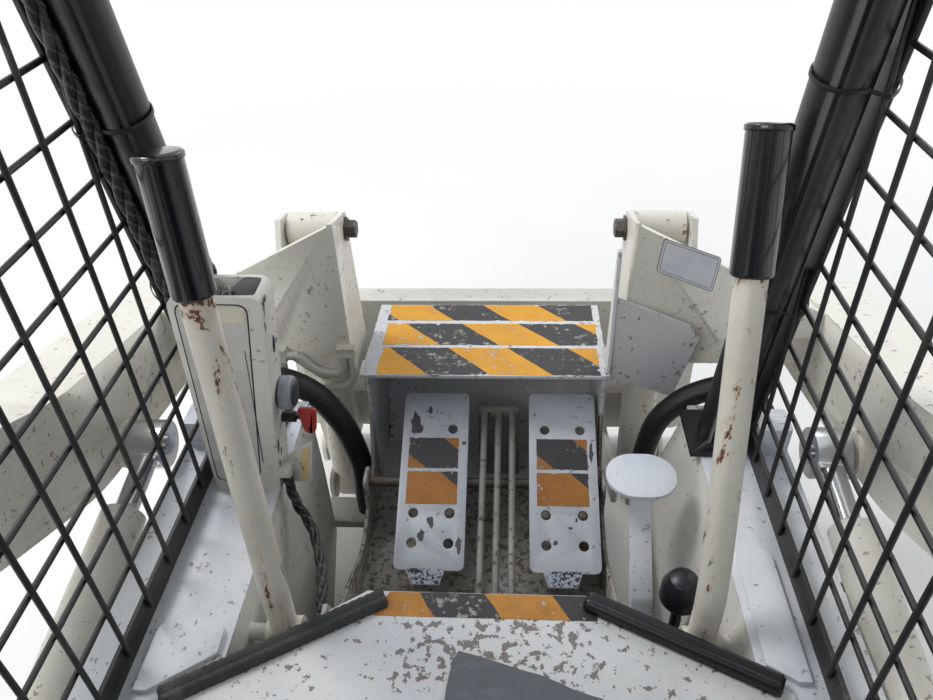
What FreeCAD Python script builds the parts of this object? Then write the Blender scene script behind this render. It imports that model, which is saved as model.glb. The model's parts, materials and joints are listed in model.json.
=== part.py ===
import FreeCAD, Part
import math
import os
import re
import Sketcher

# Front body of a skid steer loader: operator's station, lift arms, coupler frame and cylinders.
# Millimetres. +X is the operator's right, +Y is forward, +Z is up. The origin lies on the floor,
# on the centre plane, 300 mm in front of the operator's eyes.

Vector = FreeCAD.Vector
Rotation = FreeCAD.Rotation
Placement = FreeCAD.Placement

# Columns: name of the size, its value, what it is.
SIZES = (
    ("frame_rear", -780, "rear end of the main frame"),
    ("belly_thick", 8, "belly plate"),
    ("case_out", 410, "outer face of a chain case, from the centre plane"),
    ("case_in", 262, "inner face of a chain case low down"),
    ("case_lean_right", 38, "how far the right case's inner wall leans out at its top"),
    ("case_lean_left", 4, "the same on the left"),
    ("case_lean_low", 250, "height where the inner walls start to lean"),
    ("case_top", 390, "top of the chain cases"),
    ("case_front", 560, "front end of the chain cases"),
    ("nose_cut", 100, "bevel under the front of a chain case"),
    ("axle_high", 150, "axles above the belly"),
    ("axle_front", 360, "front axle"),
    ("axle_rear", -380, "rear axle"),
    ("housing_round", 56, "axle housing, radius"),
    ("housing_long", 58, "axle housing's reach out of the case"),
    ("spindle_round", 25, "hub spindle, radius"),
    ("spindle_play", 0.8, "clearance round a spindle"),
    ("hub_gap", 9, "gap from a housing to its hub flange"),
    ("hub_thick", 14, "hub flange"),
    ("hub_round", 86, "hub flange, radius"),
    ("hub_boss", 36, "hub's middle boss, radius"),
    ("hub_boss_long", 22, "how far the boss stands out"),
    ("stud_circle", 60, "wheel studs, radius of their circle"),
    ("stud_round", 7, "wheel stud, radius"),
    ("stud_long", 32, "wheel stud, length"),
    ("stud_count", 6, "studs on a hub"),
    ("sheet", 4, "pressed sheet covers"),
    ("fender_rear", -595, "rear end of the fender covers"),
    ("fender_ahead", 2, "fender covers ahead of the chain cases"),
    ("fender_lip", 10, "a cover's overhang past the case"),
    ("pad_rise", 7, "raised panels on the covers"),
    ("pad_corner", 18, "corner radius of the raised panels"),
    ("pad_front_left", 182, "front edge of the left raised panel"),
    ("pad_front_right", 300, "front edge of the right raised panel"),
    ("riser_back", 25, "seat riser behind the pan's front edge"),
    ("riser_thick", 6, "seat riser"),
    ("pan_front", 228, "front lip of the seat pan"),
    ("pan_rear", -438, "rear edge of the seat pan"),
    ("pan_left", 123, "left end of the front lip"),
    ("pan_right", 148, "right end of the front lip"),
    ("pan_half", 330, "half width of the seat pan"),
    ("pan_corner_left", 86, "where the left slanted edge meets the pan's side"),
    ("pan_corner_right", 118, "the same on the right"),
    ("lip_drop", 34, "turned down front lip"),
    ("bulk_half", 295, "half width of the bulkhead"),
    ("bulk_top", 910, "top of the bulkhead"),
    ("bulk_corner", 70, "corners of the bulkhead"),
    ("cushion_half", 225, "half width of the seat cushion"),
    ("cushion_front", 20, "front of the seat cushion"),
    ("cushion_thick", 100, "seat cushion"),
    ("cushion_corner", 55, "corners of the cushion"),
    ("back_half", 205, "half width of the back cushion"),
    ("back_thick", 85, "back cushion"),
    ("back_top", 890, "top of the back cushion"),
    ("seat_gap", 0.3, "clearance round the cushions"),
    ("tower_in", 376, "inner face of an arm tower"),
    ("tower_out", 462, "outer face of an arm tower"),
    ("tower_front", -605, "front of the towers at the foot"),
    ("tower_corner", 60, "rounded tops of the towers"),
    ("tower_over", 65, "tower above the arm pivot"),
    ("tower_sheet", 8, "cross plate between the towers"),
    ("cross_low", 430, "lower edge of the cross plate"),
    ("cross_high", 720, "upper edge of the cross plate"),
    ("pivot_fore", -700, "arm pivot, forward"),
    ("pivot_high", 950, "arm pivot, height"),
    ("pivot_round", 25, "arm pivot pin, radius"),
    ("pivot_cap", 36, "arm pivot's cap, radius"),
    ("cap_thick", 8, "arm pivot's cap"),
    ("pin_play", 0.3, "running clearance of the pins"),
    ("side_gap", 5, "gap beside a moving piece"),
    ("post_half", 330, "guard posts from the centre plane"),
    ("post_round", 27, "guard post tube, radius"),
    ("post_foot", 500, "front post at its foot"),
    ("post_foot_high", 390, "height at which the post's foot is measured"),
    ("post_rake", 0.206, "front post's lean back for each unit up"),
    ("post_rear", -500, "rear post"),
    ("rail_high", 1580, "guard's side rails"),
    ("post_bend", 120, "bend radius of the guard tubes"),
    ("tie_round", 22, "guard's cross tubes, radius"),
    ("tie_front", 110, "front cross tube"),
    ("tie_rear", -370, "rear cross tube"),
    ("tie_back_high", 1000, "cross tube between the rear posts"),
    ("foot_half", 44, "post foot plates, from the post's middle to their edges"),
    ("foot_thick", 8, "post foot plates"),
    ("roof_half", 296, "half width of the roof plate"),
    ("roof_over", 60, "roof plate past the cross tubes"),
    ("roof_rib", 10, "pressed ribs of the roof"),
    ("screen_out", 370, "outer face of the side screens"),
    ("rod_wide", 6, "mesh rods"),
    ("mesh_pitch", 60, "mesh, rod to rod"),
    ("mesh_gap", 0.3, "gap between the two layers of rods"),
    ("mesh_fore", 369, "the mesh's upright rod nearest the console"),
    ("mesh_low", 482, "the mesh's lowest level rod"),
    ("screen_rear", -430, "rear edge of the screens"),
    ("screen_top", 1440, "top edge of the screens"),
    ("screen_ahead", 14, "screens' front edge ahead of the post's line"),
    ("screen_bar", 34, "flat bar round the screens"),
    ("rod_lap", 14, "rods' overlap on the flat bar"),
    ("well_half", 184, "half width of the footwell outside"),
    ("well_sheet", 6, "footwell plates"),
    ("floor_high", 190, "top of the footwell floor"),
    ("well_front", 595, "footwell's side plates end here"),
    ("well_low_fore", 425, "lowest point of the side plates, forward"),
    ("well_low_high", 222, "lowest point of the side plates, height"),
    ("beam_half", 100, "half width of the nose beam"),
    ("step_half", 190, "half width of the step"),
    ("step_near", 595, "near edge of the step"),
    ("step_far", 818, "far edge of the step"),
    ("step_high", 420, "near edge of the step, height"),
    ("step_fall", 20, "the step's fall to its far edge"),
    ("step_sheet", 6, "step plate"),
    ("nose_toe", 690, "foot of the nose's front wall"),
    ("spike_ahead", 16, "guard plate's front face ahead of the step's near edge"),
    ("spike_high", 628, "top of the spike"),
    ("guard_out", 314, "outer end of the guard plate"),
    ("guard_high", 553, "guard plate's inner upper corner"),
    ("guard_low", 372, "guard plate's lowest corner"),
    ("pedal_fore", 510, "pedal pivot, forward"),
    ("pedal_high", 277, "pedal pivot, height"),
    ("pedal_tilt", 25.6, "pedals' slope, degrees"),
    ("pedal_left", -76, "middle of the left pedal"),
    ("pedal_right", 120, "middle of the right pedal"),
    ("pedal_wide", 102, "width of a pedal"),
    ("pedal_long", 277, "length of a pedal"),
    ("pedal_rise", 20, "pedal plate above its pivot"),
    ("pedal_sheet", 6, "pedal plate"),
    ("pedal_flange", 14, "pedal's turned down sides"),
    ("pedal_shaft", 8, "pedal shaft, radius"),
    ("pedal_sleeve", 13, "pedal sleeve, radius"),
    ("pedal_hole", 7.5, "holes in a pedal, radius"),
    ("hole_half", 27, "holes from a pedal's middle line"),
    ("link_round", 5, "linkage rods, radius"),
    ("link_first", -1, "first linkage rod from the centre plane"),
    ("link_pitch", 22, "linkage rods, one to the next"),
    ("link_front", 612, "front end of the linkage rods"),
    ("link_front_high", 330, "front end, height"),
    ("link_rear", 190, "rear end of the linkage rods"),
    ("link_rear_high", 225, "rear end, height"),
    ("link_hole", 9, "holes in the riser for the rods, radius"),
    ("pad_gap", 30, "oval foot pad's middle outside the footwell"),
    ("pad_fore", 415, "oval foot pad, forward"),
    ("pad_high", 400, "oval foot pad, height"),
    ("pad_wide", 92, "oval foot pad, width"),
    ("pad_deep", 78, "oval foot pad, depth"),
    ("pad_thick", 6, "oval foot pad"),
    ("bar_wide", 28, "foot pad's flat arm"),
    ("bar_fore", 290, "foot pad's pivot, forward"),
    ("bar_high", 215, "foot pad's pivot, height"),
    ("knob_side", 252, "hand throttle knob from the centre plane"),
    ("knob_fore", 280, "knob, forward"),
    ("knob_low", 312, "bottom of the knob"),
    ("knob_round", 26, "knob, radius"),
    ("knob_tall", 56, "knob, height"),
    ("knob_stem", 7, "knob's stem, radius"),
    ("knob_block", 233, "bottom of the block that holds the stem"),
    ("box_near", 380, "console, face towards the operator"),
    ("box_far", 428, "console, far face"),
    ("box_notch", 300, "console's hollow round the post, from the centre plane"),
    ("box_top", 702, "console, top"),
    ("box_out_low", 350, "console's outer edge at its foot"),
    ("box_in_low", 264, "console's inner edge at its foot"),
    ("box_out_top", 338, "console's outer edge at its top"),
    ("box_in_top", 230, "console's inner edge at its top"),
    ("box_corner", 14, "console's rounded edges"),
    ("box_wall", 5, "console's walls"),
    ("box_well", 64, "depth of the open top"),
    ("dial_fore", 412, "round knob on the console's side, forward"),
    ("dial_high", 540, "round knob, height"),
    ("dial_round", 19, "round knob, radius"),
    ("dial_long", 17, "round knob, length"),
    ("switch_fore", 416, "key switch, forward"),
    ("switch_high", 496, "key switch, height"),
    ("switch_round", 7, "key switch, radius"),
    ("switch_long", 17, "key switch, length"),
    ("tag_side", 219, "key tag from the centre plane"),
    ("tag_high", 470, "lower end of the key tag"),
    ("tag_tall", 40, "key tag, height"),
    ("tag_wide", 25, "key tag, width at its top"),
    ("tag_thick", 3, "key tag"),
    ("flap_fore", 400, "bracket plate at the console's foot, forward"),
    ("flap_side", 214, "inner end of the bracket plate"),
    ("flap_high", 470, "top of the bracket plate"),
    ("arm_in", 490, "inner face of the lift arms"),
    ("arm_wide", 100, "width of the lift arms"),
    ("arm_bend", 350, "where the arm's slope changes"),
    ("arm_bend_top", 578, "arm's upper edge there"),
    ("arm_bend_low", 415, "arm's lower edge there"),
    ("arm_front", 792, "front end of the arms"),
    ("arm_front_top", 478, "arm's upper edge at its front"),
    ("arm_front_low", 340, "arm's lower edge at its front"),
    ("arm_rear_over", 72, "arm above its pivot"),
    ("knee_rear", 626, "rear face of a knee"),
    ("knee_in", 206, "inner face of a knee"),
    ("knee_sheet", 8, "knee plates"),
    ("knee_wide", 94, "knee over its two plates"),
    ("knee_low", 380, "bottom of a knee"),
    ("knee_high", 660, "top of the knee's rear plate at its inner end"),
    ("knee_ear", 16, "knee plates beyond their pin"),
    ("crank_high", 512, "top of the crank that joins a knee to its arm"),
    ("crank_low", 470, "rear plate's lower edge at the crank"),
    ("crank_start", 350, "where that lower edge turns level, from the centre plane"),
    ("top_pin_fore", 700, "knee pin, forward"),
    ("top_pin_high", 614, "knee pin, height"),
    ("bolt_round", 12, "knee bolt's head, radius"),
    ("bolt_long", 16, "knee bolt's head, length"),
    ("leg_in", 290, "inner face of an arm's leg"),
    ("leg_out", 320, "outer face of an arm's leg"),
    ("low_pin_fore", 800, "coupler pin, forward"),
    ("low_pin_high", 75, "coupler pin, height"),
    ("low_pin_round", 15, "coupler pin, radius"),
    ("tube_ahead", 45, "arms' cross tube ahead of the coupler pins"),
    ("tube_high", 215, "arms' cross tube, height"),
    ("tube_round", 30, "arms' cross tube, radius"),
    ("ear_thick", 8, "coupler's ears"),
    ("face_fore", 905, "rear of the coupler's face plate"),
    ("face_thick", 10, "coupler's face plate"),
    ("face_half", 400, "half width of the face plate"),
    ("face_low", 30, "lower edge of the face plate"),
    ("face_high", 350, "upper edge of the face plate"),
    ("tilt_pin_fore", 657, "tilt cylinder's lower pin, forward"),
    ("tilt_pin_high", 120, "tilt cylinder's lower pin, height"),
    ("tilt_pin_round", 12, "tilt cylinder's pins, radius"),
    ("tilt_side", 253, "tilt cylinders from the centre plane"),
    ("tilt_round", 28, "tilt barrel, radius"),
    ("tilt_bore", 20, "tilt barrel's bore, radius"),
    ("tilt_rod", 11, "tilt rod, radius"),
    ("tilt_barrel_end", 335, "tilt barrel's end from its pin"),
    ("tilt_rod_start", 205, "tilt rod's inner end from the barrel's pin"),
    ("tilt_eye", 25, "tilt cylinder's eyes, radius"),
    ("tilt_eye_half", 14, "tilt barrel's eye, half width"),
    ("tilt_head_half", 35, "tilt rod's wide eye, half width"),
    ("lift_pin_fore", -500, "lift cylinder's base pin, forward"),
    ("lift_pin_high", 270, "lift cylinder's base pin, height"),
    ("lift_eye_fore", 440, "lift rod's eye, forward"),
    ("lift_eye_high", 420, "lift rod's eye, height"),
    ("lift_side", 455, "lift cylinders from the centre plane"),
    ("lift_round", 28.5, "lift barrel, radius"),
    ("lift_bore", 21, "lift barrel's bore, radius"),
    ("lift_rod", 15, "lift rod, radius"),
    ("lift_barrel_end", 838, "lift barrel's end from its pin"),
    ("lift_rod_start", 95, "lift rod's inner end from the barrel's pin"),
    ("lift_eye", 34, "lift cylinder's eyes, radius"),
    ("lift_eye_half", 22, "lift barrel's eye, half width"),
    ("lift_head_half", 22, "lift rod's eye, half width"),
    ("lift_pin_round", 18, "lift cylinder's pins, radius"),
    ("barrel_start", 13, "full round of a barrel beyond its eye"),
    ("lever_left", 222, "left lever's foot from the centre plane"),
    ("lever_right", 258, "right lever's foot from the centre plane"),
    ("lever_fore", 204, "lever pivot, forward"),
    ("lever_high", 345, "lever pivot, height"),
    ("lever_round", 16, "lever tube, radius"),
    ("lever_bend", 160, "bend of the steering levers, radius"),
    ("lever_bend_high", 440, "where a lever starts to lean forward"),
    ("left_grip_side", 244, "lower end of the left grip from the centre plane"),
    ("left_grip_fore", 265, "lower end of the left grip, forward"),
    ("left_grip_high", 780, "lower end of the left grip, height"),
    ("left_grip_long", 130, "left grip"),
    ("right_grip_side", 268, "lower end of the right grip from the centre plane"),
    ("right_grip_fore", 330, "lower end of the right grip, forward"),
    ("right_grip_high", 760, "lower end of the right grip, height"),
    ("right_grip_long", 140, "right grip"),
    ("grip_round", 20.5, "grip, radius"),
    ("rim_round", 22, "rim at a grip's top, radius"),
    ("rim_tall", 7, "rim at a grip's top, height"),
    ("lever_sleeve", 20, "lever's pivot sleeve, radius"),
    ("lever_pin", 10, "lever's pivot pin, radius"),
    ("trim_round", 9, "rubber trims on the pan's edges, radius"),
    ("harness_start", 260, "post harness's lower end from the post's foot, along the post"),
    ("harness_long", 820, "post harness, length"),
    ("harness_round", 8, "taped harness on the left post, radius"),
    ("loom_round", 7, "taped harness below the console, radius"),
    ("loom_side", 254, "its upper end from the centre plane"),
    ("loom_fore", 389, "its upper end, forward"),
    ("loom_top", 420, "its upper end, height"),
    ("sleeve_round", 19, "sleeved hose in front of the left case, radius"),
    ("hose_round", 17, "hose in front of the right case, radius"),
    ("pipe_round", 6, "knee pipes, radius"),
    ("hose_gap", 2, "between the right hose and the fender cover's front edge"),
    ("sleeve_gap", 5, "between the left hose and the fender cover's front edge"),
    ("pipe_off", 2, "between the knee pipes and the knee's rear plate"),
    ("pipe_start", 306, "knee pipes' outer ends from the centre plane"),
    ("pipe_high", 440, "outer knee pipe's outer end and both inner ends, height"),
    ("pipe_in", 219, "outer knee pipe's inner end from the centre plane"),
    ("pipe_gap", 15, "between the two inner ends"),
    ("port_half", 22, "half width of the blocks the hoses end in"),
    ("lower_block", 16, "blocks on the cases that the hoses stand in, height"),
    ("port_side", 395, "hose blocks on the fender covers, from the centre plane"),
    ("port_fore", 484, "the same, forward"),
    ("port_tall", 44, "the same, height"),
    ("hose_side", 251, "right hose's lower end from the centre plane"),
    ("hose_end", 200, "right hose's lower end, height"),
    ("sleeve_off", 3, "between the left hose's lower end and the footwell"),
    ("sleeve_end", 130, "left hose's lower end, height"),
)

# Places worked out from the sizes
ARM_OUT = "(arm_in + arm_wide)"
KNEE_OUT = "(knee_in + knee_wide)"
TUBE_FORE = "(low_pin_fore + tube_ahead)"
SPIKE_FORE = "(step_near + spike_ahead)"
PAD_SIDE = "(well_half + pad_gap)"
FENDER_TOP = "(case_top + sheet)"
PAN_TOP = "(case_top + 2 * sheet)"
FOOT_TOP = "(case_top + sheet + foot_thick)"
HOSE_FORE = "(case_front + fender_ahead + hose_gap + hose_round)"
SLEEVE_FORE = "(case_front + fender_ahead + sleeve_gap + sleeve_round)"
SLEEVE_SIDE = "(well_half + sleeve_off + sleeve_round)"
PIPE_FORE = "(knee_rear - pipe_off - pipe_round)"

doc = FreeCAD.newDocument("SkidSteerFront")
sheet = doc.addObject("Spreadsheet::Sheet", "Sizes")
for row, (name, value, note) in enumerate(SIZES, 1):
    sheet.set("A%d" % row, name)
    sheet.set("B%d" % row, str(value))
    sheet.set("C%d" % row, note)
    sheet.setAlias("B%d" % row, name)
doc.recompute()

WORDS = re.compile(r"\b(" + "|".join(sorted((name for name, value, note in SIZES), key=len, reverse=True)) + r")\b")
PLANE = {"side": "YZ_Plane", "front": "XZ_Plane", "top": "XY_Plane"}
pieces = []


def bound(text):
    """The text of a size with each name looked up in the sheet."""
    return WORDS.sub(lambda found: "Sizes." + found.group(0), str(text))


def size(text):
    """The number that a text of named sizes comes to."""
    return float(sheet.evalExpression(bound(text)))


def flip(text):
    return "-(%s)" % text


def new_body(label):
    body = doc.addObject("PartDesign::Body", label)
    body.Label = label
    body.AllowCompound = True
    pieces.append(body)
    return body


def keep(label, shape):
    """A swept piece, whose shape the code works out from the sheet."""
    piece = doc.addObject("Part::Feature", label)
    piece.Label = label
    piece.Shape = shape
    pieces.append(piece)
    return piece


def pin_point(sketch, geometry, corner, across, up):
    """Tie one end of a line, or a point, to two named sizes."""
    for kind, text in (("DistanceX", across), ("DistanceY", up)):
        index = sketch.addConstraint(Sketcher.Constraint(kind, -1, 1, geometry, corner, size(text)))
        sketch.setExpression("Constraints[%d]" % index, bound(text))


def add_loop(sketch, outline):
    """A closed outline. Each corner is (across, up) or (across, up, radius)."""
    corners = [Vector(size(corner[0]), size(corner[1]), 0) for corner in outline]
    count = len(corners)
    leaving, arriving, arcs = [], [], {}
    for index, corner in enumerate(outline):
        here = corners[index]
        back = (corners[index - 1] - here).normalize()
        ahead = (corners[(index + 1) % count] - here).normalize()
        if len(corner) == 2:
            leaving.append(here)
            arriving.append(here)
            continue
        radius = size(corner[2])
        half = back.getAngle(ahead) / 2
        reach = radius / math.tan(half)
        centre = here + (back + ahead).normalize() * (radius / math.sin(half))
        arriving.append(here + back * reach)
        leaving.append(here + ahead * reach)
        left_turn = back.cross(ahead).z < 0
        start, end = (arriving[-1], leaving[-1]) if left_turn else (leaving[-1], arriving[-1])
        first = math.atan2(start.y - centre.y, start.x - centre.x)
        last = math.atan2(end.y - centre.y, end.x - centre.x)
        if last < first:
            last += 2 * math.pi
        round_corner = Part.ArcOfCircle(Part.Circle(centre, Vector(0, 0, 1), radius), first, last)
        arcs[index] = (round_corner, (1, 2) if left_turn else (2, 1))
    lines = [
        sketch.addGeometry(Part.LineSegment(leaving[index], arriving[(index + 1) % count]), False)
        for index in range(count)
    ]
    for index, corner in enumerate(outline):
        line, before = lines[index], lines[index - 1]
        if index not in arcs:
            sketch.addConstraint(Sketcher.Constraint("Coincident", before, 2, line, 1))
            pin_point(sketch, line, 1, corner[0], corner[1])
            continue
        round_corner, (first, last) = arcs[index]
        arc = sketch.addGeometry(round_corner, False)
        sketch.addConstraint(Sketcher.Constraint("Tangent", before, 2, arc, first))
        sketch.addConstraint(Sketcher.Constraint("Tangent", line, 1, arc, last))
        tie = sketch.addConstraint(Sketcher.Constraint("Radius", arc, size(corner[2])))
        sketch.setExpression("Constraints[%d]" % tie, bound(corner[2]))
        point = sketch.addGeometry(Part.Point(corners[index]), True)
        sketch.addConstraint(Sketcher.Constraint("PointOnObject", point, 1, before))
        sketch.addConstraint(Sketcher.Constraint("PointOnObject", point, 1, line))
        pin_point(sketch, point, 1, corner[0], corner[1])


def add_circle(sketch, across, up, radius):
    centre = Vector(size(across), size(up), 0)
    circle = sketch.addGeometry(Part.Circle(centre, Vector(0, 0, 1), size(radius)), False)
    pin_point(sketch, circle, 3, across, up)
    tie = sketch.addConstraint(Sketcher.Constraint("Radius", circle, size(radius)))
    sketch.setExpression("Constraints[%d]" % tie, bound(radius))


def slab(body, plane, low, high, loops=(), circles=(), cut=False):
    """A flat piece between low and high along the plane's normal, added to its body or cut out of it."""
    sketch = body.newObject("Sketcher::SketchObject", "Outline")
    base = [feature for feature in body.Origin.OriginFeatures if feature.Role == PLANE[plane]][0]
    sketch.AttachmentSupport = [(base, "")]
    sketch.MapMode = "FlatFace"
    start = flip(high) if plane == "front" else low
    sketch.AttachmentOffset = Placement(Vector(0, 0, size(start)), Rotation())
    sketch.setExpression("AttachmentOffset.Base.z", bound(start))
    for outline in loops:
        add_loop(sketch, outline)
    for across, up, radius in circles:
        add_circle(sketch, across, up, radius)
    feature = body.newObject("PartDesign::Pocket" if cut else "PartDesign::Pad", "Slab")
    feature.Profile = sketch
    feature.Reversed = cut
    feature.Length = size("(%s) - (%s)" % (high, low))
    feature.setExpression("Length", bound("(%s) - (%s)" % (high, low)))
    feature.Refine = True
    return feature


def sided(body, side, near, far, loops=(), circles=(), cut=False):
    """A slab seen from the side, between two distances from the centre plane, on the left or the right."""
    low, high = (near, far) if side == "right" else (flip(far), flip(near))
    return slab(body, "side", low, high, loops, circles, cut)


def turned(body, outline):
    """A round piece about its own forward axis. Each corner is (along, radius)."""
    sketch = body.newObject("Sketcher::SketchObject", "Profile")
    base = [feature for feature in body.Origin.OriginFeatures if feature.Role == PLANE["side"]][0]
    sketch.AttachmentSupport = [(base, "")]
    sketch.MapMode = "FlatFace"
    add_loop(sketch, outline)
    feature = body.newObject("PartDesign::Revolution", "Turned")
    feature.Profile = sketch
    feature.ReferenceAxis = (sketch, ["H_Axis"])
    feature.Angle = 360
    return feature


def box(left, right, rear, front, *corner):
    """A rectangle's four corners, with one radius for all where it is given."""
    return [(left, rear) + corner, (right, rear) + corner, (right, front) + corner, (left, front) + corner]


def tube(points, radius, bend=None):
    """A tube along straight runs joined by tangent arcs."""
    edges, turns = [], []
    here = points[0]
    for index in range(1, len(points) - 1):
        corner = points[index]
        back = points[index - 1] - corner
        ahead = points[index + 1] - corner
        half = back.getAngle(ahead) / 2
        shorter = min(back.Length, ahead.Length)
        turn = bend or 0.45 * shorter * math.tan(half)
        reach = turn / math.tan(half)
        turns.append(turn)
        back.normalize()
        ahead.normalize()
        start = corner + back * reach
        end = corner + ahead * reach
        centre = corner + (back + ahead).normalize() * (turn / math.sin(half))
        middle = centre + (corner - centre).normalize() * turn
        edges.append(Part.LineSegment(here, start).toShape())
        edges.append(Part.Arc(start, middle, end).toShape())
        here = end
    edges.append(Part.LineSegment(here, points[-1]).toShape())
    path = Part.Wire(edges)
    ring = Part.Wire(Part.Circle(points[0], points[1] - points[0], radius).toShape())
    solid = path.makePipeShell([ring], True, True)
    expected = math.pi * radius * radius * path.Length
    if abs(solid.Volume / expected - 1) > 0.01:
        raise ValueError("a tube's volume is off: %g against %g" % (solid.Volume, expected))
    print("tube: radius %g, length %.0f, tightest bend %.0f" % (radius, path.Length, min(turns)))
    return solid


def round_solid(outline, foot, along):
    """A round solid about its own axis. Each corner is (along, radius)."""
    corners = [Vector(size(radius), 0, size(high)) for high, radius in outline]
    solid = Part.Face(Part.makePolygon(corners + corners[:1])).revolve(Vector(0, 0, 0), Vector(0, 0, 1), 360)
    solid.Placement = Placement(foot, Rotation(Vector(0, 0, 1), along))
    return solid


def at(side, fore, high):
    return Vector(size(side), size(fore), size(high))


def reach_of(fore_a, high_a, fore_b, high_b):
    """Length, and slope in degrees, of the line from pin a to pin b."""
    along = size(fore_b) - size(fore_a)
    up = size(high_b) - size(high_a)
    return math.hypot(along, up), math.degrees(math.atan2(up, along))


# Belly plate
belly = new_body("belly_plate")
slab(belly, "top", "0", "belly_thick", [box("-case_in", "case_in", "frame_rear", "pan_front - 100")])

# Chain cases, with the axle housings and the lift cylinders' base pins
cases = new_body("chain_cases")
for side, lean in (("left", "case_lean_left"), ("right", "case_lean_right")):
    sign = "-" if side == "left" else ""
    slab(cases, "front", "frame_rear", "case_front", [[
        (sign + "case_in", "0"),
        (sign + "case_out", "0"),
        (sign + "case_out", "case_top"),
        (sign + "(case_in + %s)" % lean, "case_top"),
        (sign + "case_in", "case_lean_low"),
    ]])
    sided(cases, side, "case_in - 1", "case_out + 1", [[
        ("case_front - nose_cut", "-1"),
        ("case_front + 1", "-1"),
        ("case_front + 1", "nose_cut + 1"),
    ]], cut=True)
    for axle in ("axle_front", "axle_rear"):
        sided(cases, side, "case_out", "case_out + housing_long", circles=[(axle, "axle_high", "housing_round")])
        sided(cases, side, "case_out - 10", "case_out + housing_long + 1",
              circles=[(axle, "axle_high", "spindle_round + spindle_play")], cut=True)
    sided(cases, side, "case_out", "lift_side + lift_eye_half + 3",
          circles=[("lift_pin_fore", "lift_pin_high", "lift_pin_round")])
    sided(cases, side, "lever_%s - 22" % side, "case_in + " + lean, circles=[("lever_fore", "lever_high", "lever_pin")])
slab(cases, "top", "hose_end - lower_block", "hose_end", [
    box("hose_side - port_half", "case_in + port_half", "case_front - 8", HOSE_FORE + " + port_half")])
slab(cases, "top", "sleeve_end - lower_block", "sleeve_end", [
    box("-case_in - port_half", "-" + SLEEVE_SIDE + " + port_half - 4", "case_front - 8", SLEEVE_FORE + " + port_half")])

# Hubs: spindle, flange, boss and studs
for side in ("left", "right"):
    for place, axle in (("front", "axle_front"), ("rear", "axle_rear")):
        hub = new_body("hub_%s_%s" % (place, side))
        flange = "case_out + housing_long + hub_gap"
        sided(hub, side, "case_out + 2", flange, circles=[(axle, "axle_high", "spindle_round")])
        sided(hub, side, flange, flange + " + hub_thick", circles=[(axle, "axle_high", "hub_round")])
        sided(hub, side, flange + " + hub_thick", flange + " + hub_thick + hub_boss_long",
              circles=[(axle, "axle_high", "hub_boss")])
        for turn in range(int(size("stud_count"))):
            angle = "360 * %d / stud_count" % turn
            sided(hub, side, flange + " + hub_thick", flange + " + hub_thick + stud_long", circles=[(
                axle + " + stud_circle * cos(%s)" % angle,
                "axle_high + stud_circle * sin(%s)" % angle,
                "stud_round",
            )])

# Fender covers with their raised panels, and the blocks that the front hoses end in
slope = {
    "left": "(pan_front - pan_corner_left) / (pan_half - pan_left)",
    "right": "(pan_front - pan_corner_right) / (pan_half - pan_right)",
}
fenders = new_body("fender_covers")
for side, lean in (("left", "case_lean_left"), ("right", "case_lean_right")):
    inner = "case_in + " + lean
    sign = "-" if side == "left" else ""
    edges = [sign + "(%s)" % inner, sign + "(case_out + fender_lip)"]
    slab(fenders, "top", "case_top", FENDER_TOP, [box(edges[0], edges[1], "fender_rear", "case_front + fender_ahead")])
    middle = sign + "port_side"
    slab(fenders, "top", FENDER_TOP, FENDER_TOP + " + port_tall", [
        box(middle + " - port_half", middle + " + port_half", "port_fore - port_half", "port_fore + port_half", "5")])
    slab(fenders, "top", FENDER_TOP, FENDER_TOP + " + pad_rise", [[
        (sign + "(screen_out - 20)", "pan_corner_%s + 12" % side),
        (sign + "(pan_half + 6)", "pan_corner_%s + 12" % side),
        (sign + "(%s + 8)" % inner, "pan_corner_%s + (pan_half - (%s)) * %s + 12" % (side, inner, slope[side])),
        (sign + "(%s + 8)" % inner, "pad_front_%s" % side, "pad_corner"),
        (sign + "(screen_out - 20)", "pad_front_%s" % side, "pad_corner"),
    ]])

# Seat riser between the cases, with holes for the linkage rods
riser = new_body("seat_riser")
fall_left = "pan_front - riser_back - (case_in - pan_left) * " + slope["left"]
fall_right = "pan_front - riser_back - (case_in - pan_right) * " + slope["right"]
slab(riser, "top", "belly_thick", FENDER_TOP, [[
    ("-case_in", fall_left),
    ("-case_in", fall_left + " - riser_thick"),
    ("-pan_left", "pan_front - riser_back - riser_thick"),
    ("pan_right", "pan_front - riser_back - riser_thick"),
    ("case_in", fall_right + " - riser_thick"),
    ("case_in", fall_right),
    ("pan_right", "pan_front - riser_back"),
    ("-pan_left", "pan_front - riser_back"),
]])
rod_rise = "(link_front_high - link_rear_high) / (link_front - link_rear)"
slab(riser, "front", "pan_front - riser_back - riser_thick - 1", "pan_front - riser_back + 1", circles=[
    ("link_first + %d * link_pitch" % number,
     "link_rear_high + (pan_front - riser_back - link_rear) * " + rod_rise, "link_hole")
    for number in range(3)
], cut=True)

# Seat pan with its turned down front lip
pan = new_body("seat_pan")
slab(pan, "top", FENDER_TOP, PAN_TOP, [[
    ("-pan_half", "pan_rear"),
    ("pan_half", "pan_rear"),
    ("pan_half", "pan_corner_right"),
    ("pan_right", "pan_front"),
    ("-pan_left", "pan_front"),
    ("-pan_half", "pan_corner_left"),
]])
slab(pan, "front", "pan_front - sheet", "pan_front", [
    box("-pan_left", "pan_right", FENDER_TOP + " - lip_drop", PAN_TOP),
])

# Bulkhead behind the seat
bulkhead = new_body("bulkhead")
slab(bulkhead, "front", "pan_rear", "pan_rear + well_sheet", [[
    ("-bulk_half", PAN_TOP),
    ("bulk_half", PAN_TOP),
    ("bulk_half", "bulk_top", "bulk_corner"),
    ("-bulk_half", "bulk_top", "bulk_corner"),
]])

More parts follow.
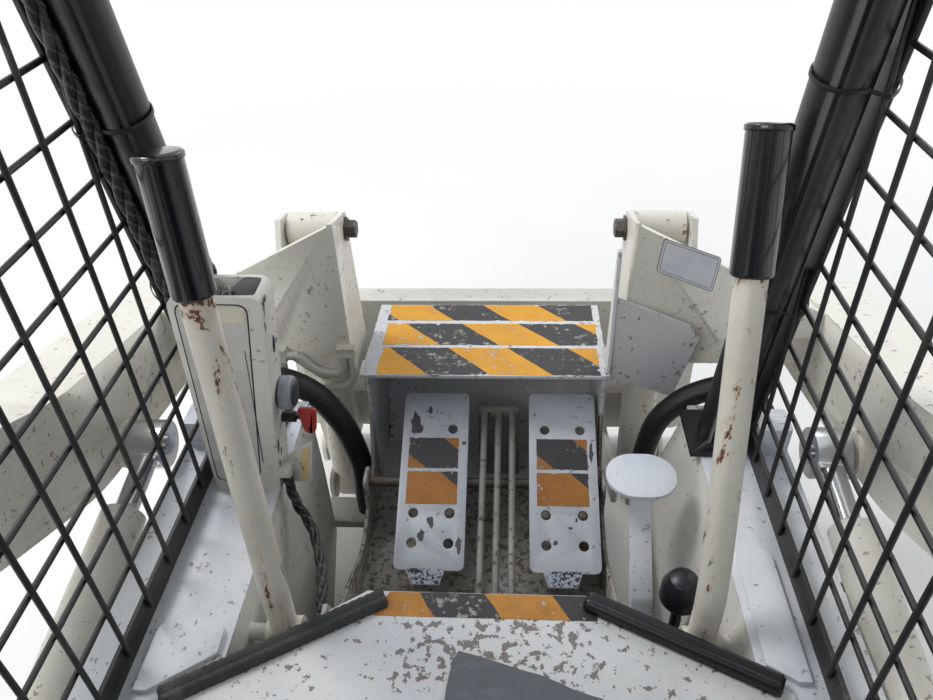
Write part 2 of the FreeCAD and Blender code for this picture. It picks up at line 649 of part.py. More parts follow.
# Seat cushion and back cushion
cushion = new_body("seat_cushion")
cushion_low = PAN_TOP + " + seat_gap"
slab(cushion, "top", cushion_low, cushion_low + " + cushion_thick", [
    box("-cushion_half", "cushion_half", "pan_rear + well_sheet + seat_gap", "cushion_front", "cushion_corner"),
])
back = new_body("seat_back")
back_rear = "pan_rear + well_sheet + seat_gap"
slab(back, "top", cushion_low + " + cushion_thick + seat_gap", "back_top", [
    box("-back_half", "back_half", back_rear, back_rear + " + back_thick", "back_thick / 3"),
])

# Arm towers, their pivot pins and the plate across
towers = new_body("arm_towers")
for side in ("left", "right"):
    sided(towers, side, "tower_in", "tower_out", [[
        ("frame_rear", "case_top"),
        ("tower_front", "case_top"),
        ("tower_front - 15", "pivot_high + tower_over", "tower_corner"),
        ("frame_rear", "pivot_high + tower_over", "tower_corner"),
    ]])
    sided(towers, side, "tower_out", ARM_OUT + " + side_gap",
          circles=[("pivot_fore", "pivot_high", "pivot_round")])
    sided(towers, side, ARM_OUT + " + side_gap", ARM_OUT + " + side_gap + cap_thick",
          circles=[("pivot_fore", "pivot_high", "pivot_cap")])
slab(towers, "front", "pivot_fore", "pivot_fore + tower_sheet", [
    box("-tower_in", "tower_in", "cross_low", "cross_high"),
])

# Overhead guard: two bent hoops, cross tubes and foot plates
hoops = []
for side in ("-post_half", "post_half"):
    hoops.append(tube([
        at(side, "post_foot", FOOT_TOP),
        at(side, "post_foot - post_rake * (rail_high - (%s))" % FOOT_TOP, "rail_high"),
        at(side, "post_rear", "rail_high"),
        at(side, "post_rear", FOOT_TOP),
    ], size("post_round"), size("post_bend")))
    plate_left = side + " - foot_half" if side == "post_half" else side + " - post_round"
    for foot in ("post_foot", "post_rear"):
        hoops.append(Part.makeBox(size("foot_half + post_round"), size("2 * foot_half"), size("foot_thick"), at(
            plate_left, foot + " - foot_half", FENDER_TOP)))
for fore, high in (("tie_front", "rail_high"), ("tie_rear", "rail_high"), ("post_rear", "tie_back_high")):
    hoops.append(Part.makeCylinder(size("tie_round"), size("2 * post_half"), at("-post_half", fore, high), Vector(1, 0, 0)))
keep("guard_frame", hoops[0].multiFuse(hoops[1:]).removeSplitter())

# Roof plate with two pressed ribs
roof = new_body("guard_roof")
roof_low = "rail_high + tie_round"
slab(roof, "top", roof_low, roof_low + " + sheet", [
    box("-roof_half", "roof_half", "tie_rear - roof_over", "tie_front + roof_over", "roof_over / 2"),
])
for sign in ("-", ""):
    slab(roof, "top", roof_low + " + sheet", roof_low + " + sheet + roof_rib", [box(
        sign + "roof_half / 2 - roof_over / 2", sign + "roof_half / 2 + roof_over / 2",
        "tie_rear", "tie_front", "roof_over / 3")])


# Side screens: a flat bar frame with a mesh of two layers of rods, a hair apart and held by the bars
def screen_edge(high):
    """Front edge of a screen at a height: it follows the raked post."""
    return size("post_foot + screen_ahead") - size("post_rake") * (high - size(FENDER_TOP))


def prism(corners, start, thick):
    """A flat piece between two distances from the centre plane."""
    face = Part.Face(Part.makePolygon([Vector(start, fore, high) for fore, high in corners + corners[:1]]))
    return face.extrude(Vector(thick, 0, 0))


def screen_outline(margin):
    low = size(FENDER_TOP) + margin
    high = size("screen_top") - margin
    rear = size("screen_rear") + margin
    return [(rear, low), (screen_edge(low) - margin, low), (screen_edge(high) - margin, high), (rear, high)]


def screen(sign):
    rod = size("rod_wide")
    pitch = size("mesh_pitch")
    bar = size("screen_bar")
    outer = size("screen_out") - rod
    inner = outer - rod
    frame = prism(screen_outline(0), outer, rod).cut(prism(screen_outline(bar), outer, rod))
    rods = []
    fore = size("mesh_fore") + 3 * pitch
    reach = screen_outline(bar - size("rod_lap"))
    inside = prism(reach, inner, rod)
    level_inside = prism(screen_outline(bar), outer, 2 * rod)
    while fore > reach[0][0]:
        if fore < reach[1][0] - rod:
            strip = [(fore - rod / 2, 0), (fore + rod / 2, 0), (fore + rod / 2, reach[2][1]), (fore - rod / 2, reach[2][1])]
            rods.append(prism(strip, inner, rod).common(inside))
        fore -= pitch
    high = size("mesh_low")
    while high < reach[2][1] - rod:
        strip = [(reach[0][0], high - rod / 2), (reach[1][0], high - rod / 2),
                 (reach[1][0], high + rod / 2), (reach[0][0], high + rod / 2)]
        rods.append(prism(strip, outer + size("mesh_gap"), rod).common(level_inside))
        high += pitch
    whole = frame.multiFuse(rods)
    if sign < 0:
        whole = whole.mirror(Vector(0, 0, 0), Vector(1, 0, 0))
    return whole


keep("side_screens", Part.makeCompound([screen(-1), screen(1)]))

# Footwell: floor, side plates with a low waist, and the box beam under it
well = new_body("footwell")
riser_face = "pan_front - riser_back"
slab(well, "top", "floor_high - well_sheet", "floor_high", [box("-well_half", "well_half", riser_face, "well_front")])
for side in ("left", "right"):
    sided(well, side, "well_half - well_sheet", "well_half", [[
        (riser_face, "floor_high - well_sheet"),
        ("well_front", "floor_high - well_sheet"),
        ("well_front", "well_low_high + 125"),
        ("well_front - 35", "well_low_high + 38", "30"),
        ("well_low_fore", "well_low_high", "60"),
        (riser_face + " + 65", "well_low_high + 70", "40"),
        (riser_face + " + 34", "case_top - lip_drop"),
        (riser_face, "case_top - lip_drop"),
    ]])
    sided(well, side, "well_half - well_sheet", "well_half", [[
        ("pedal_fore - 24", "well_low_high"),
        ("pedal_fore + 24", "well_low_high + 10"),
        ("pedal_fore + 20", "pedal_high + 18", "12"),
        ("pedal_fore - 20", "pedal_high + 18", "12"),
    ]])
    sided(well, side, "beam_half - belly_thick", "beam_half", [
        box(riser_face, "well_front", "0", "floor_high - well_sheet"),
    ])
slab(well, "top", "0", "belly_thick", [box("-beam_half", "beam_half", riser_face, "well_front")])

# Nose: step plate, cheeks, front wall, and the guard plate on its spike
nose = new_body("step_box")
step_low = "step_high - step_sheet"
far_high = "step_high - step_fall"
slab(nose, "side", "-step_half", "step_half", [[
    ("step_near", step_low),
    ("step_near", "step_high"),
    ("step_far", far_high),
    ("step_far", far_high + " - step_sheet"),
]])
for side in ("left", "right"):
    sided(nose, side, "well_half - well_sheet", "well_half", [[
        ("step_near", "floor_high - well_sheet"),
        ("nose_toe", "floor_high - well_sheet"),
        ("step_far - 1", far_high + " - step_sheet / 2"),
        ("step_near", "step_high - step_sheet / 2"),
    ]])
slab(nose, "side", "-(well_half - well_sheet)", "well_half - well_sheet", [[
    ("nose_toe - well_sheet - 1", "floor_high - well_sheet"),
    ("nose_toe", "floor_high - well_sheet"),
    ("step_far - 1", far_high + " - step_sheet / 2"),
    ("step_far - well_sheet - 2", far_high + " - step_sheet / 2"),
]])
slab(nose, "top", "floor_high - well_sheet", "floor_high", [
    box("-(well_half - well_sheet)", "well_half - well_sheet", "step_near", "nose_toe - 1"),
])
sided(nose, "right", "well_half", "step_half", [[
    (SPIKE_FORE + " - 10", "step_high - step_sheet * 2"),
    (SPIKE_FORE + " + 70", "step_high - step_sheet * 3"),
    (SPIKE_FORE + " + 20", "step_high + 34"),
    (SPIKE_FORE + " + 5", "spike_high"),
    (SPIKE_FORE + " - 5", "spike_high"),
]])
slab(nose, "front", SPIKE_FORE + " - 5", SPIKE_FORE, [[
    ("step_half", "guard_high"),
    ("step_half", "step_high - 18"),
    ("step_half + 24", "step_high - 18"),
    ("guard_out - 26", "guard_low", "10"),
    ("guard_out", "guard_low + 112", "12"),
    ("guard_out - 17", "guard_high - 47", "8"),
]])

# Pedal shaft across the footwell
shaft = new_body("pedal_shaft")
slab(shaft, "side", "-(well_half - well_sheet - seat_gap)", "well_half - well_sheet - seat_gap",
     circles=[("pedal_fore", "pedal_high", "pedal_shaft")])

# Pedals, each built flat about its own pivot and then sloped
for side in ("left", "right"):
    pedal = new_body("pedal_" + side)
    half = "pedal_wide / 2"
    end = "pedal_long / 2"
    rows = ("pedal_long * 0.28", "-pedal_long * 0.2", "-pedal_long * 0.36")
    slab(pedal, "top", "pedal_rise", "pedal_rise + pedal_sheet", [
        box("-" + half, half, "-" + end, end, "9"),
    ])
    slab(pedal, "top", "pedal_rise", "pedal_rise + pedal_sheet", [[
        ("-pedal_wide * 0.32", "-%s + 2" % end),
        ("-pedal_wide * 0.24", "-%s - 20" % end),
        ("pedal_wide * 0.16", "-%s - 20" % end),
        ("pedal_wide * 0.24", "-%s + 2" % end),
    ]])
    slab(pedal, "top", "pedal_rise - 1", "pedal_rise + pedal_sheet + 1", circles=[
        (sign + "hole_half", row, "pedal_hole") for row in rows for sign in ("-", "")
    ], cut=True)
    for mark in ("left", "right"):
        sided(pedal, mark, half + " - pedal_sheet", half, [
            box("-%s + 9" % end, end + " - 9", "pedal_rise - pedal_flange", "pedal_rise"),
        ])
        sided(pedal, mark, "pedal_wide / 4", "pedal_wide / 4 + pedal_sheet", [[
            ("-pedal_sleeve", "0"),
            ("pedal_sleeve", "0"),
            ("pedal_sleeve * 2", "pedal_rise"),
            ("-pedal_sleeve * 2", "pedal_rise"),
        ]])
    slab(pedal, "side", "-pedal_wide * 0.35", "pedal_wide * 0.35", circles=[("0", "0", "pedal_sleeve")])
    slab(pedal, "side", "-pedal_wide", "pedal_wide", circles=[("0", "0", "pedal_shaft + pin_play")], cut=True)
    pedal.Placement = Placement(at("pedal_" + side, "pedal_fore", "pedal_high"), Rotation(Vector(1, 0, 0), size("pedal_tilt")))

# Linkage rods between the pedals, from a bracket on the footwell's floor to under the seat pan
rods = new_body("linkage_rods")
slab(rods, "front", "link_front", "link_front + well_sheet", [
    box("link_first - link_pitch / 2", "link_first + link_pitch * 2.5", "floor_high", "link_front_high + 12", "5"),
])
rod_length, rod_slope = reach_of("link_rear", "link_rear_high", "link_front", "link_front_high")
doc.recompute()
linkage = rods.Shape
for number in range(3):
    start = at("link_first + %d * link_pitch" % number, "link_rear", "link_rear_high")
    end = at("link_first + %d * link_pitch" % number, "link_front + 1", "link_front_high")
    linkage = linkage.fuse(Part.makeCylinder(size("link_round"), (end - start).Length, start, end - start))
pieces.remove(rods)
rods.Label = "rod_bracket"
keep("linkage_rods", linkage.removeSplitter())

# Oval foot pad on its bent flat arm, pivoted on the right case
foot = new_body("foot_pad")
slab(foot, "top", "pad_high - pad_thick", "pad_high", [
    box(PAD_SIDE + " - pad_wide / 2", PAD_SIDE + " + pad_wide / 2", "pad_fore - pad_deep / 2", "pad_fore + pad_deep / 2",
        "pad_deep / 2 - 1"),
])
slab(foot, "side", PAD_SIDE + " - bar_wide / 2", PAD_SIDE + " + bar_wide / 2", [[
    ("pad_fore - 8", "pad_high - pad_thick"),
    ("pad_fore + 4", "pad_high - pad_thick"),
    ("pad_fore - 30", "pad_high - 72", "40"),
    ("bar_fore + 34", "bar_high + 52", "30"),
    ("bar_fore + 12", "bar_high"),
    ("bar_fore - 12", "bar_high"),
    ("bar_fore + 18", "bar_high + 62", "30"),
    ("pad_fore - 44", "pad_high - 62", "40"),
]])
slab(foot, "side", PAD_SIDE + " - bar_wide / 2", "case_in", circles=[("bar_fore", "bar_high", "14")])

# Hand throttle: a rounded knob on its stem, held by a block on the right case
knob = round_solid([
    ("knob_block + 14", "0"),
    ("knob_block + 14", "knob_stem"),
    ("knob_low", "knob_stem"),
    ("knob_low", "knob_round * 0.68"),
    ("knob_low + knob_tall * 0.24", "knob_round"),
    ("knob_low + knob_tall * 0.62", "knob_round * 0.96"),
    ("knob_low + knob_tall * 0.9", "knob_round * 0.66"),
    ("knob_low + knob_tall", "knob_round * 0.3"),
    ("knob_low + knob_tall", "0"),
], at("knob_side", "knob_fore", "0"), Vector(0, 0, 1))
block = Part.makeBox(size("case_in - knob_side + 10"), 20, 16, at("knob_side - 10", "knob_fore - 10", "knob_block"))
keep("throttle_knob", knob.fuse(block).removeSplitter())

# Console box with its open top
console = new_body("console_box")
slab(console, "front", "box_near", "box_far", [[
    ("-box_out_low", FENDER_TOP),
    ("-box_in_low", FENDER_TOP),
    ("-box_in_top", "box_top", "box_corner"),
    ("-box_out_top", "box_top", "box_corner"),
]])
slab(console, "top", "box_top - box_well", "box_top + 1", [
    box("-(box_notch - box_wall)", "-(box_in_top + box_wall * 2)", "box_near + box_wall", "box_far - box_wall", "6"),
], cut=True)
clear_post = "post_foot - post_rake * (%s - post_foot_high) - post_round - 4"
slab(console, "side", "-(box_out_low + 1)", "-box_notch", [[
    (clear_post % "post_foot_high", "post_foot_high"),
    ("box_far + 80", "post_foot_high"),
    ("box_far + 80", "box_top + 20"),
    (clear_post % "(box_top + 20)", "box_top + 20"),
]], cut=True)

# Bracket plate at the console's foot, and the block that its harness hangs from
slab(console, "front", "flap_fore - sheet", "flap_fore", [[
    ("-box_in_low - 4", FENDER_TOP + " + 4"),
    ("-flap_side - 12", FENDER_TOP + " + 2"),
    ("-flap_side", "flap_high"),
    ("-flap_side - 21", "flap_high - 14"),
    ("-box_in_low - 4", FENDER_TOP + " + 36"),
]])
slab(console, "front", "loom_fore - 9", "loom_fore + 9", [
    box("-box_in_low - 4", "-loom_side + 8", "loom_top", "loom_top + 14"),
])

# Round knob, key switch and key tag on the console's inner side
controls = new_body("console_controls")
box_slope = "(box_in_low - box_in_top) / (box_top - %s)" % FENDER_TOP
dial_side = "box_in_low - (dial_high + dial_round - %s) * %s - seat_gap" % (FENDER_TOP, box_slope)
sided(controls, "left", "(%s) - dial_long" % dial_side, dial_side, circles=[("dial_fore", "dial_high", "dial_round")])
switch_side = "box_in_low - (switch_high + switch_round - %s) * %s - seat_gap" % (FENDER_TOP, box_slope)
sided(controls, "left", "(%s) - switch_long" % switch_side, switch_side,
      circles=[("switch_fore", "switch_high", "switch_round")])
slab(controls, "front", "switch_fore - tag_thick / 2", "switch_fore + tag_thick / 2", [
    box("-(%s) + switch_long - 1" % switch_side, "-tag_side", "switch_high - 3", "switch_high + 3"),
    [
        ("-tag_side - tag_wide / 2", "tag_high + tag_tall", "10"),
        ("-tag_side - tag_wide / 4", "tag_high", "5"),
        ("-tag_side + tag_wide / 4", "tag_high", "5"),
        ("-tag_side + tag_wide / 2", "tag_high + tag_tall", "10"),
    ],
])

# Lift arms: beam, crank to the knee, the knee's rear plate and side plates, its bolt head, and the leg
for side, sign in (("left", "-"), ("right", "")):
    arm = new_body("lift_arm_" + side)
    sided(arm, side, "arm_in", ARM_OUT, [[
        ("pivot_fore - 66", "pivot_high - 62", "55"),
        ("pivot_fore + 40", "pivot_high - 74", "60"),
        ("arm_bend", "arm_bend_low", "400"),
        ("arm_front", "arm_front_low", "30"),
        ("arm_front", "arm_front_top", "50"),
        ("arm_bend", "arm_bend_top", "500"),
        ("pivot_fore + 60", "pivot_high + arm_rear_over", "90"),
        ("pivot_fore - 66", "pivot_high + arm_rear_over", "60"),
    ]])
    sided(arm, side, "arm_in - 1", ARM_OUT + " + 1",
          circles=[("pivot_fore", "pivot_high", "pivot_round + pin_play")], cut=True)
    sided(arm, side, "arm_in - side_gap - 1", "arm_in", circles=[("lift_eye_fore", "lift_eye_high", "lift_eye")])
    rear_plate = [
        (sign + "knee_in", "knee_low"),
        (sign + "(knee_in + 56)", "knee_low + 6", "30"),
        (sign + "crank_start", "crank_low", "40"),
        (sign + "arm_in", "crank_low"),
        (sign + "arm_in", "crank_high"),
        (sign + "knee_in", "knee_high"),
    ]
    slab(arm, "front", "knee_rear", "knee_rear + knee_sheet", [rear_plate])
    sided(arm, side, KNEE_OUT, "arm_in", [[
        ("knee_rear + knee_sheet / 2", "arm_bend_low + 5"),
        ("arm_front - 6", "arm_front_low + 10"),
        ("arm_front - 6", "arm_front_top - 6", "16"),
        ("knee_rear + knee_sheet / 2", "crank_high"),
    ]])
    sided(arm, side, "knee_in", "knee_in + knee_sheet", [[
        ("knee_rear", "knee_low"),
        ("top_pin_fore", "knee_low - 8"),
        ("top_pin_fore + 42", "knee_low - 4"),
        ("top_pin_fore + knee_ear", "top_pin_high - knee_ear"),
        ("top_pin_fore + knee_ear", "top_pin_high + knee_ear * 1.4", "knee_ear"),
        ("knee_rear", "knee_high"),
    ]])
    sided(arm, side, KNEE_OUT + " - knee_sheet", KNEE_OUT, [[
        ("knee_rear", "knee_low + 50"),
        ("top_pin_fore + 42", "knee_low - 4"),
        ("top_pin_fore + knee_ear", "top_pin_high - knee_ear"),
        ("top_pin_fore + knee_ear", "top_pin_high + knee_ear * 1.4", "knee_ear"),
        ("top_pin_fore - 30", "top_pin_high + 30"),
        ("knee_rear", "top_pin_high - 54"),
    ]])
    sided(arm, side, "knee_in - bolt_long", "knee_in", circles=[("top_pin_fore", "top_pin_high", "bolt_round")])
    sided(arm, side, "leg_in", "leg_out", [[
        ("knee_rear + 70", "knee_low + 62"),
        ("low_pin_fore - 68", "tube_high + 60"),
        ("low_pin_fore - 28", "low_pin_high - 28", "27"),
        ("low_pin_fore + 28", "low_pin_high - 28", "27"),
        (TUBE_FORE + " + 38", "tube_high - 34", "30"),
        (TUBE_FORE + " + 38", "tube_high + 40", "34"),
        ("arm_front", "knee_low + 62"),
    ]])
    sided(arm, side, "leg_in - 1", "leg_out + 1",
          circles=[("low_pin_fore", "low_pin_high", "low_pin_round + pin_play")], cut=True)
    if side == "left":
        slab(arm, "front", PIPE_FORE + " - pipe_round - 1", "knee_rear", [
            box("-pipe_start - 16", "-pipe_start", "pipe_high - 12", "pipe_high + 12"),
            box("-pipe_in - 8", "-pipe_in + pipe_gap + 7", "pipe_high", "pipe_high + 16"),
        ])

cross = new_body("arm_cross_tube")
slab(cross, "side", "-leg_in", "leg_in", circles=[(TUBE_FORE, "tube_high", "tube_round")])

# Coupler frame: face plate, ears and pins
coupler = new_body("coupler")
slab(coupler, "front", "face_fore", "face_fore + face_thick", [
    box("-face_half", "face_half", "face_low", "face_high", "25"),
])
slab(coupler, "side", "-face_half + 25", "face_half - 25", [[
    ("face_fore + face_thick", "face_high - 14"),
    ("face_fore + face_thick + 22", "face_high - 2"),
    ("face_fore + face_thick + 22", "face_high + 8"),
    ("face_fore + face_thick", "face_high - 4"),
]])
long_ear = [
    ("tilt_pin_fore - 26", "tilt_pin_high - 26", "24"),
    ("low_pin_fore - 30", "low_pin_high - 34", "20"),
    ("face_fore", "face_low + 6"),
    ("face_fore", "face_low + 130"),
    ("low_pin_fore + 12", "low_pin_high + 34", "20"),
    ("tilt_pin_fore + 20", "tilt_pin_high + 27", "24"),
    ("tilt_pin_fore - 26", "tilt_pin_high + 26", "24"),
]
short_ear = [
    ("low_pin_fore - 30", "low_pin_high + 30", "24"),
    ("low_pin_fore - 30", "low_pin_high - 34", "24"),
    ("face_fore", "face_low + 6"),
    ("face_fore", "face_low + 130"),
    ("low_pin_fore + 12", "low_pin_high + 30", "20"),
]
for side in ("left", "right"):
    inner = "tilt_side - tilt_eye_half - 10"
    middle = "tilt_side + tilt_eye_half + 10"
    sided(coupler, side, inner + " - ear_thick", inner, [long_ear])
    sided(coupler, side, middle, middle + " + ear_thick", [long_ear])
    sided(coupler, side, "leg_out + side_gap + 1", "leg_out + side_gap + 1 + ear_thick", [short_ear])
    sided(coupler, side, middle + " + ear_thick", "leg_out + side_gap + 1",
          circles=[("low_pin_fore", "low_pin_high", "low_pin_round")])
    sided(coupler, side, inner, middle, circles=[("tilt_pin_fore", "tilt_pin_high", "tilt_pin_round")])


# Cylinders: each barrel and rod is turned about its own axis and then placed on its pin
def cylinder(kind, side, pin, tip):
    length, slope = reach_of(pin[0], pin[1], tip[0], tip[1])
    barrel = new_body("%s_barrel_%s" % (kind, side))
    turned(barrel, [
        ("%s_eye * 0.7" % kind, "0"),
        ("%s_bore + %s_eye" % (kind, kind), "0"),
        ("%s_bore + %s_eye" % (kind, kind), "%s_bore" % kind),
        ("%s_barrel_end - 24" % kind, "%s_bore" % kind),
        ("%s_barrel_end - 24" % kind, "%s_rod + pin_play" % kind),
        ("%s_barrel_end" % kind, "%s_rod + pin_play" % kind),
        ("%s_barrel_end" % kind, "%s_round" % kind),
        ("%s_eye + barrel_start" % kind, "%s_round" % kind),
        ("%s_eye * 0.7" % kind, "%s_round * 0.6" % kind),
    ])
    slab(barrel, "side", "-%s_eye_half" % kind, "%s_eye_half" % kind, circles=[("0", "0", "%s_eye" % kind)])
    slab(barrel, "side", "-%s_eye_half - 1" % kind, "%s_eye_half + 1" % kind,
         circles=[("0", "0", "%s_pin_round + pin_play" % kind)], cut=True)
    rod = new_body("%s_rod_%s" % (kind, side))
    turned(rod, [
        ("%s_rod_start" % kind, "0"),
        ("%g" % length, "0"),
        ("%g" % length, "%s_rod" % kind),
        ("%s_rod_start" % kind, "%s_rod" % kind),
    ])
    slab(rod, "side", "-%s_head_half" % kind, "%s_head_half" % kind, circles=[("%g" % length, "0", "%s_eye" % kind)])
    slab(rod, "side", "-%s_head_half - 3" % kind, "%s_head_half + 3" % kind,
         circles=[("%g" % length, "0", "%s_pin_round * 0.8" % kind)])
    across = "-%s_side" % kind if side == "left" else "%s_side" % kind
    for body in (barrel, rod):
        body.Placement = Placement(at(across, pin[0], pin[1]), Rotation(Vector(1, 0, 0), slope))
    print("cylinder", kind, side, "closed %.1f slope %.2f" % (length, slope))


for side in ("left", "right"):
    cylinder("lift", side, ("lift_pin_fore", "lift_pin_high"), ("lift_eye_fore", "lift_eye_high"))
    cylinder("tilt", side, ("tilt_pin_fore", "tilt_pin_high"), ("top_pin_fore", "top_pin_high"))

# Steering levers and their grips
for side, sign in (("left", "-"), ("right", "")):
    across = sign + "lever_" + side
    foot_point = at(across, "lever_fore", "lever_high")
    knee_point = at(across, "lever_fore", "lever_bend_high")
    grip_low = at(sign + side + "_grip_side", side + "_grip_fore", side + "_grip_high")
    stick = tube([foot_point, knee_point, grip_low], size("lever_round"), size("lever_bend"))
    sleeve = Part.makeCylinder(size("lever_sleeve"), 40, at(across + " - 20", "lever_fore", "lever_high"), Vector(1, 0, 0))
    hole = Part.makeCylinder(size("lever_pin + pin_play"), 80, at(across + " - 40", "lever_fore", "lever_high"), Vector(1, 0, 0))
    keep("lever_" + side, stick.fuse(sleeve).cut(hole).removeSplitter())
    top = side + "_grip_long"
    keep("grip_" + side, round_solid([
        ("0", "0"),
        ("0", "grip_round - 2"),
        ("3", "grip_round"),
        (top + " - rim_tall", "grip_round"),
        (top + " - rim_tall", "rim_round"),
        (top + " - 2", "rim_round"),
        (top, "rim_round - 3"),
        (top, "0"),
    ], grip_low, grip_low - knee_point))

# Rubber trims on the pan's slanted edges
trim_high = PAN_TOP + " + trim_round"
trims = []
for points in (
    [at("-pan_half + 12", "pan_corner_left + 4", trim_high), at("-pan_left + 6", "pan_front - 14", trim_high)],
    [at("pan_half - 12", "pan_corner_right + 4", trim_high), at("pan_right - 6", "pan_front - 14", trim_high)],
):
    trims.append(Part.makeCylinder(size("trim_round"), (points[1] - points[0]).Length, points[0], points[1] - points[0]))
keep("pan_trims", Part.makeCompound(trims))

# Taped harness down the left post
lean = Vector(0, -size("post_rake"), 1).normalize()
start = at("-post_half - (post_round + harness_round) / 2",
           "post_foot - (post_round + harness_round) * 0.886", FOOT_TOP) + lean * size("harness_start")
keep("post_harness", Part.makeCylinder(size("harness_round"), size("harness_long"), start, lean))

# Taped harness from under the console to below the seat pan
keep("console_harness", tube([
    at("-loom_side", "loom_fore", "loom_top"),
    at("-loom_side", "loom_fore", "loom_top - 52"),
    at("-loom_side + 20", "loom_fore - 8", "loom_top - 90"),
    at("-loom_side + 38", "loom_fore - 45", "loom_top - 92"),
    at("-loom_side + 53", "loom_fore - 92", "loom_top - 96"),
    at("-loom_side + 60", "loom_fore - 144", "loom_top - 106"),
    at("-loom_side + 61", "loom_fore - 184", "loom_top - 120"),
    at("-loom_side + 61", "loom_fore - 226", "loom_top - 122"),
], size("loom_round")))

# Hoses in front of the two cases, each from its block on the case up and over to the fender cover
port_front = "port_fore + port_half"
port_middle = FENDER_TOP + " + port_tall / 2"
right_hose = tube([
    at("hose_side", HOSE_FORE, "hose_end"),
    at("hose_side", HOSE_FORE, "hose_end + 80"),
    at("hose_side + 13", HOSE_FORE, "hose_end + 150"),
    at("hose_side + 52", HOSE_FORE, "hose_end + 196"),
    at("hose_side + 96", HOSE_FORE + " - 3", "hose_end + 218"),
    at("port_side - 16", HOSE_FORE + " - 14", port_middle + " + 4"),
    at("port_side", HOSE_FORE + " - 45", port_middle),
    at("port_side", port_front, port_middle),
], size("hose_round"))
left_hose = tube([
    at("-" + SLEEVE_SIDE, SLEEVE_FORE, "sleeve_end"),
    at("-" + SLEEVE_SIDE, SLEEVE_FORE, "sleeve_end + 60"),
    at("-" + SLEEVE_SIDE + " - 2", SLEEVE_FORE, "sleeve_end + 120"),
    at("-" + SLEEVE_SIDE + " - 18", SLEEVE_FORE, "sleeve_end + 195"),
    at("-" + SLEEVE_SIDE + " - 52", SLEEVE_FORE, "sleeve_end + 258"),
    at("-" + SLEEVE_SIDE + " - 100", SLEEVE_FORE, "sleeve_end + 290"),
    at("-port_side + 32", SLEEVE_FORE + " - 6", "sleeve_end + 290"),
    at("-port_side", SLEEVE_FORE + " - 36", port_middle),
    at("-port_side", port_front, port_middle),
], size("sleeve_round"))
keep("front_hoses", Part.makeCompound([left_hose, right_hose]))

# Two pipes under the left knee, between blocks on its rear plate
outer_pipe = tube([
    at("-pipe_start", PIPE_FORE, "pipe_high"),
    at("-pipe_start + 18", PIPE_FORE, "pipe_high"),
    at("-pipe_start + 46", PIPE_FORE, "pipe_high - 34"),
    at("-pipe_in", PIPE_FORE, "pipe_high - 36"),
    at("-pipe_in", PIPE_FORE, "pipe_high"),
], size("pipe_round"))
inner_pipe = tube([
    at("-pipe_start - 8", PIPE_FORE, "pipe_high - 12"),
    at("-pipe_start - 8", PIPE_FORE, "pipe_high - 46"),
    at("-pipe_start + 32", PIPE_FORE, "pipe_high - 70"),
    at("-pipe_in + pipe_gap", PIPE_FORE, "pipe_high - 60"),
    at("-pipe_in + pipe_gap", PIPE_FORE, "pipe_high"),
], size("pipe_round"))
keep("knee_pipes", Part.makeCompound([outer_pipe, inner_pipe]))

# Write each piece to its own file
doc.recompute()
failures = []
for thing in doc.Objects:
    if "Invalid" in thing.State or "Error" in thing.State:
        print("failed:", thing.Name, [holder.Label for holder in thing.InList], thing.State)
        failures.append(thing)
if failures:
    raise RuntimeError("%d objects failed" % len(failures))
for piece in pieces:
    if piece.Shape.isNull() or not piece.Shape.isValid():
        raise RuntimeError("bad shape: " + piece.Label)
os.makedirs("parts", exist_ok=True)
for piece in pieces:
    piece.Shape.exportStep("parts/%s.step" % piece.Label)
print(len(pieces), "pieces")
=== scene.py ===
import json
import math

import bmesh
import bpy
import numpy as np
from mathutils import Matrix, Vector


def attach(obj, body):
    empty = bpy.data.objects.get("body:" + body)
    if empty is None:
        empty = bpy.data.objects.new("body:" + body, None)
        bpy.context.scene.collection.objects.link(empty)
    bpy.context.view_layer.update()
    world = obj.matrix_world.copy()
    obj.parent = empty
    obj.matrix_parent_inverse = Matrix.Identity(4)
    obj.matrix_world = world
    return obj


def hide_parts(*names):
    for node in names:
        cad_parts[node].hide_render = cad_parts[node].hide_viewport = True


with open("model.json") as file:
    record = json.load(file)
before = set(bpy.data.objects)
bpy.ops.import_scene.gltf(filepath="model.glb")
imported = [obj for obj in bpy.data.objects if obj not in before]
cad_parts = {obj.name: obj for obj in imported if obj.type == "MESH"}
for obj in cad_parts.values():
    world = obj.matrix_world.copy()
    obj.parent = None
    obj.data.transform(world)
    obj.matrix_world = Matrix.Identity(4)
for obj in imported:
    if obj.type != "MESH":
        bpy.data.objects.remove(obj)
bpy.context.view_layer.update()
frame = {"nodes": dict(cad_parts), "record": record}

# Front body of a skid steer loader, seen from its seat. Metres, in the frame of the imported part:
# +X is the operator's right, +Y is forward, +Z is up.

NODES = frame["nodes"]
BODIES = frame["record"]["behaviour"]["bodies"]
BODY_OF = {node: body for body, members in BODIES.items() for node in members}
SLOT_OF = {part["node"]: part["material_slot"] for part in frame["record"]["subparts"]}

PHOTO_WIDTH = 933
PHOTO_HEIGHT = 700
FOCAL_PIXELS = 762.9
SENSOR_WIDTH = 36.0
EYE = Vector((0.0428, -0.300, 1.150))
LOOK_DOWN = 0.649
LOOK_LEFT = 0.0758
HEAD_ROLL = -0.0399
FLOOR_GAP = 0.001


# Node trees, for finishes and for pieces that repeat

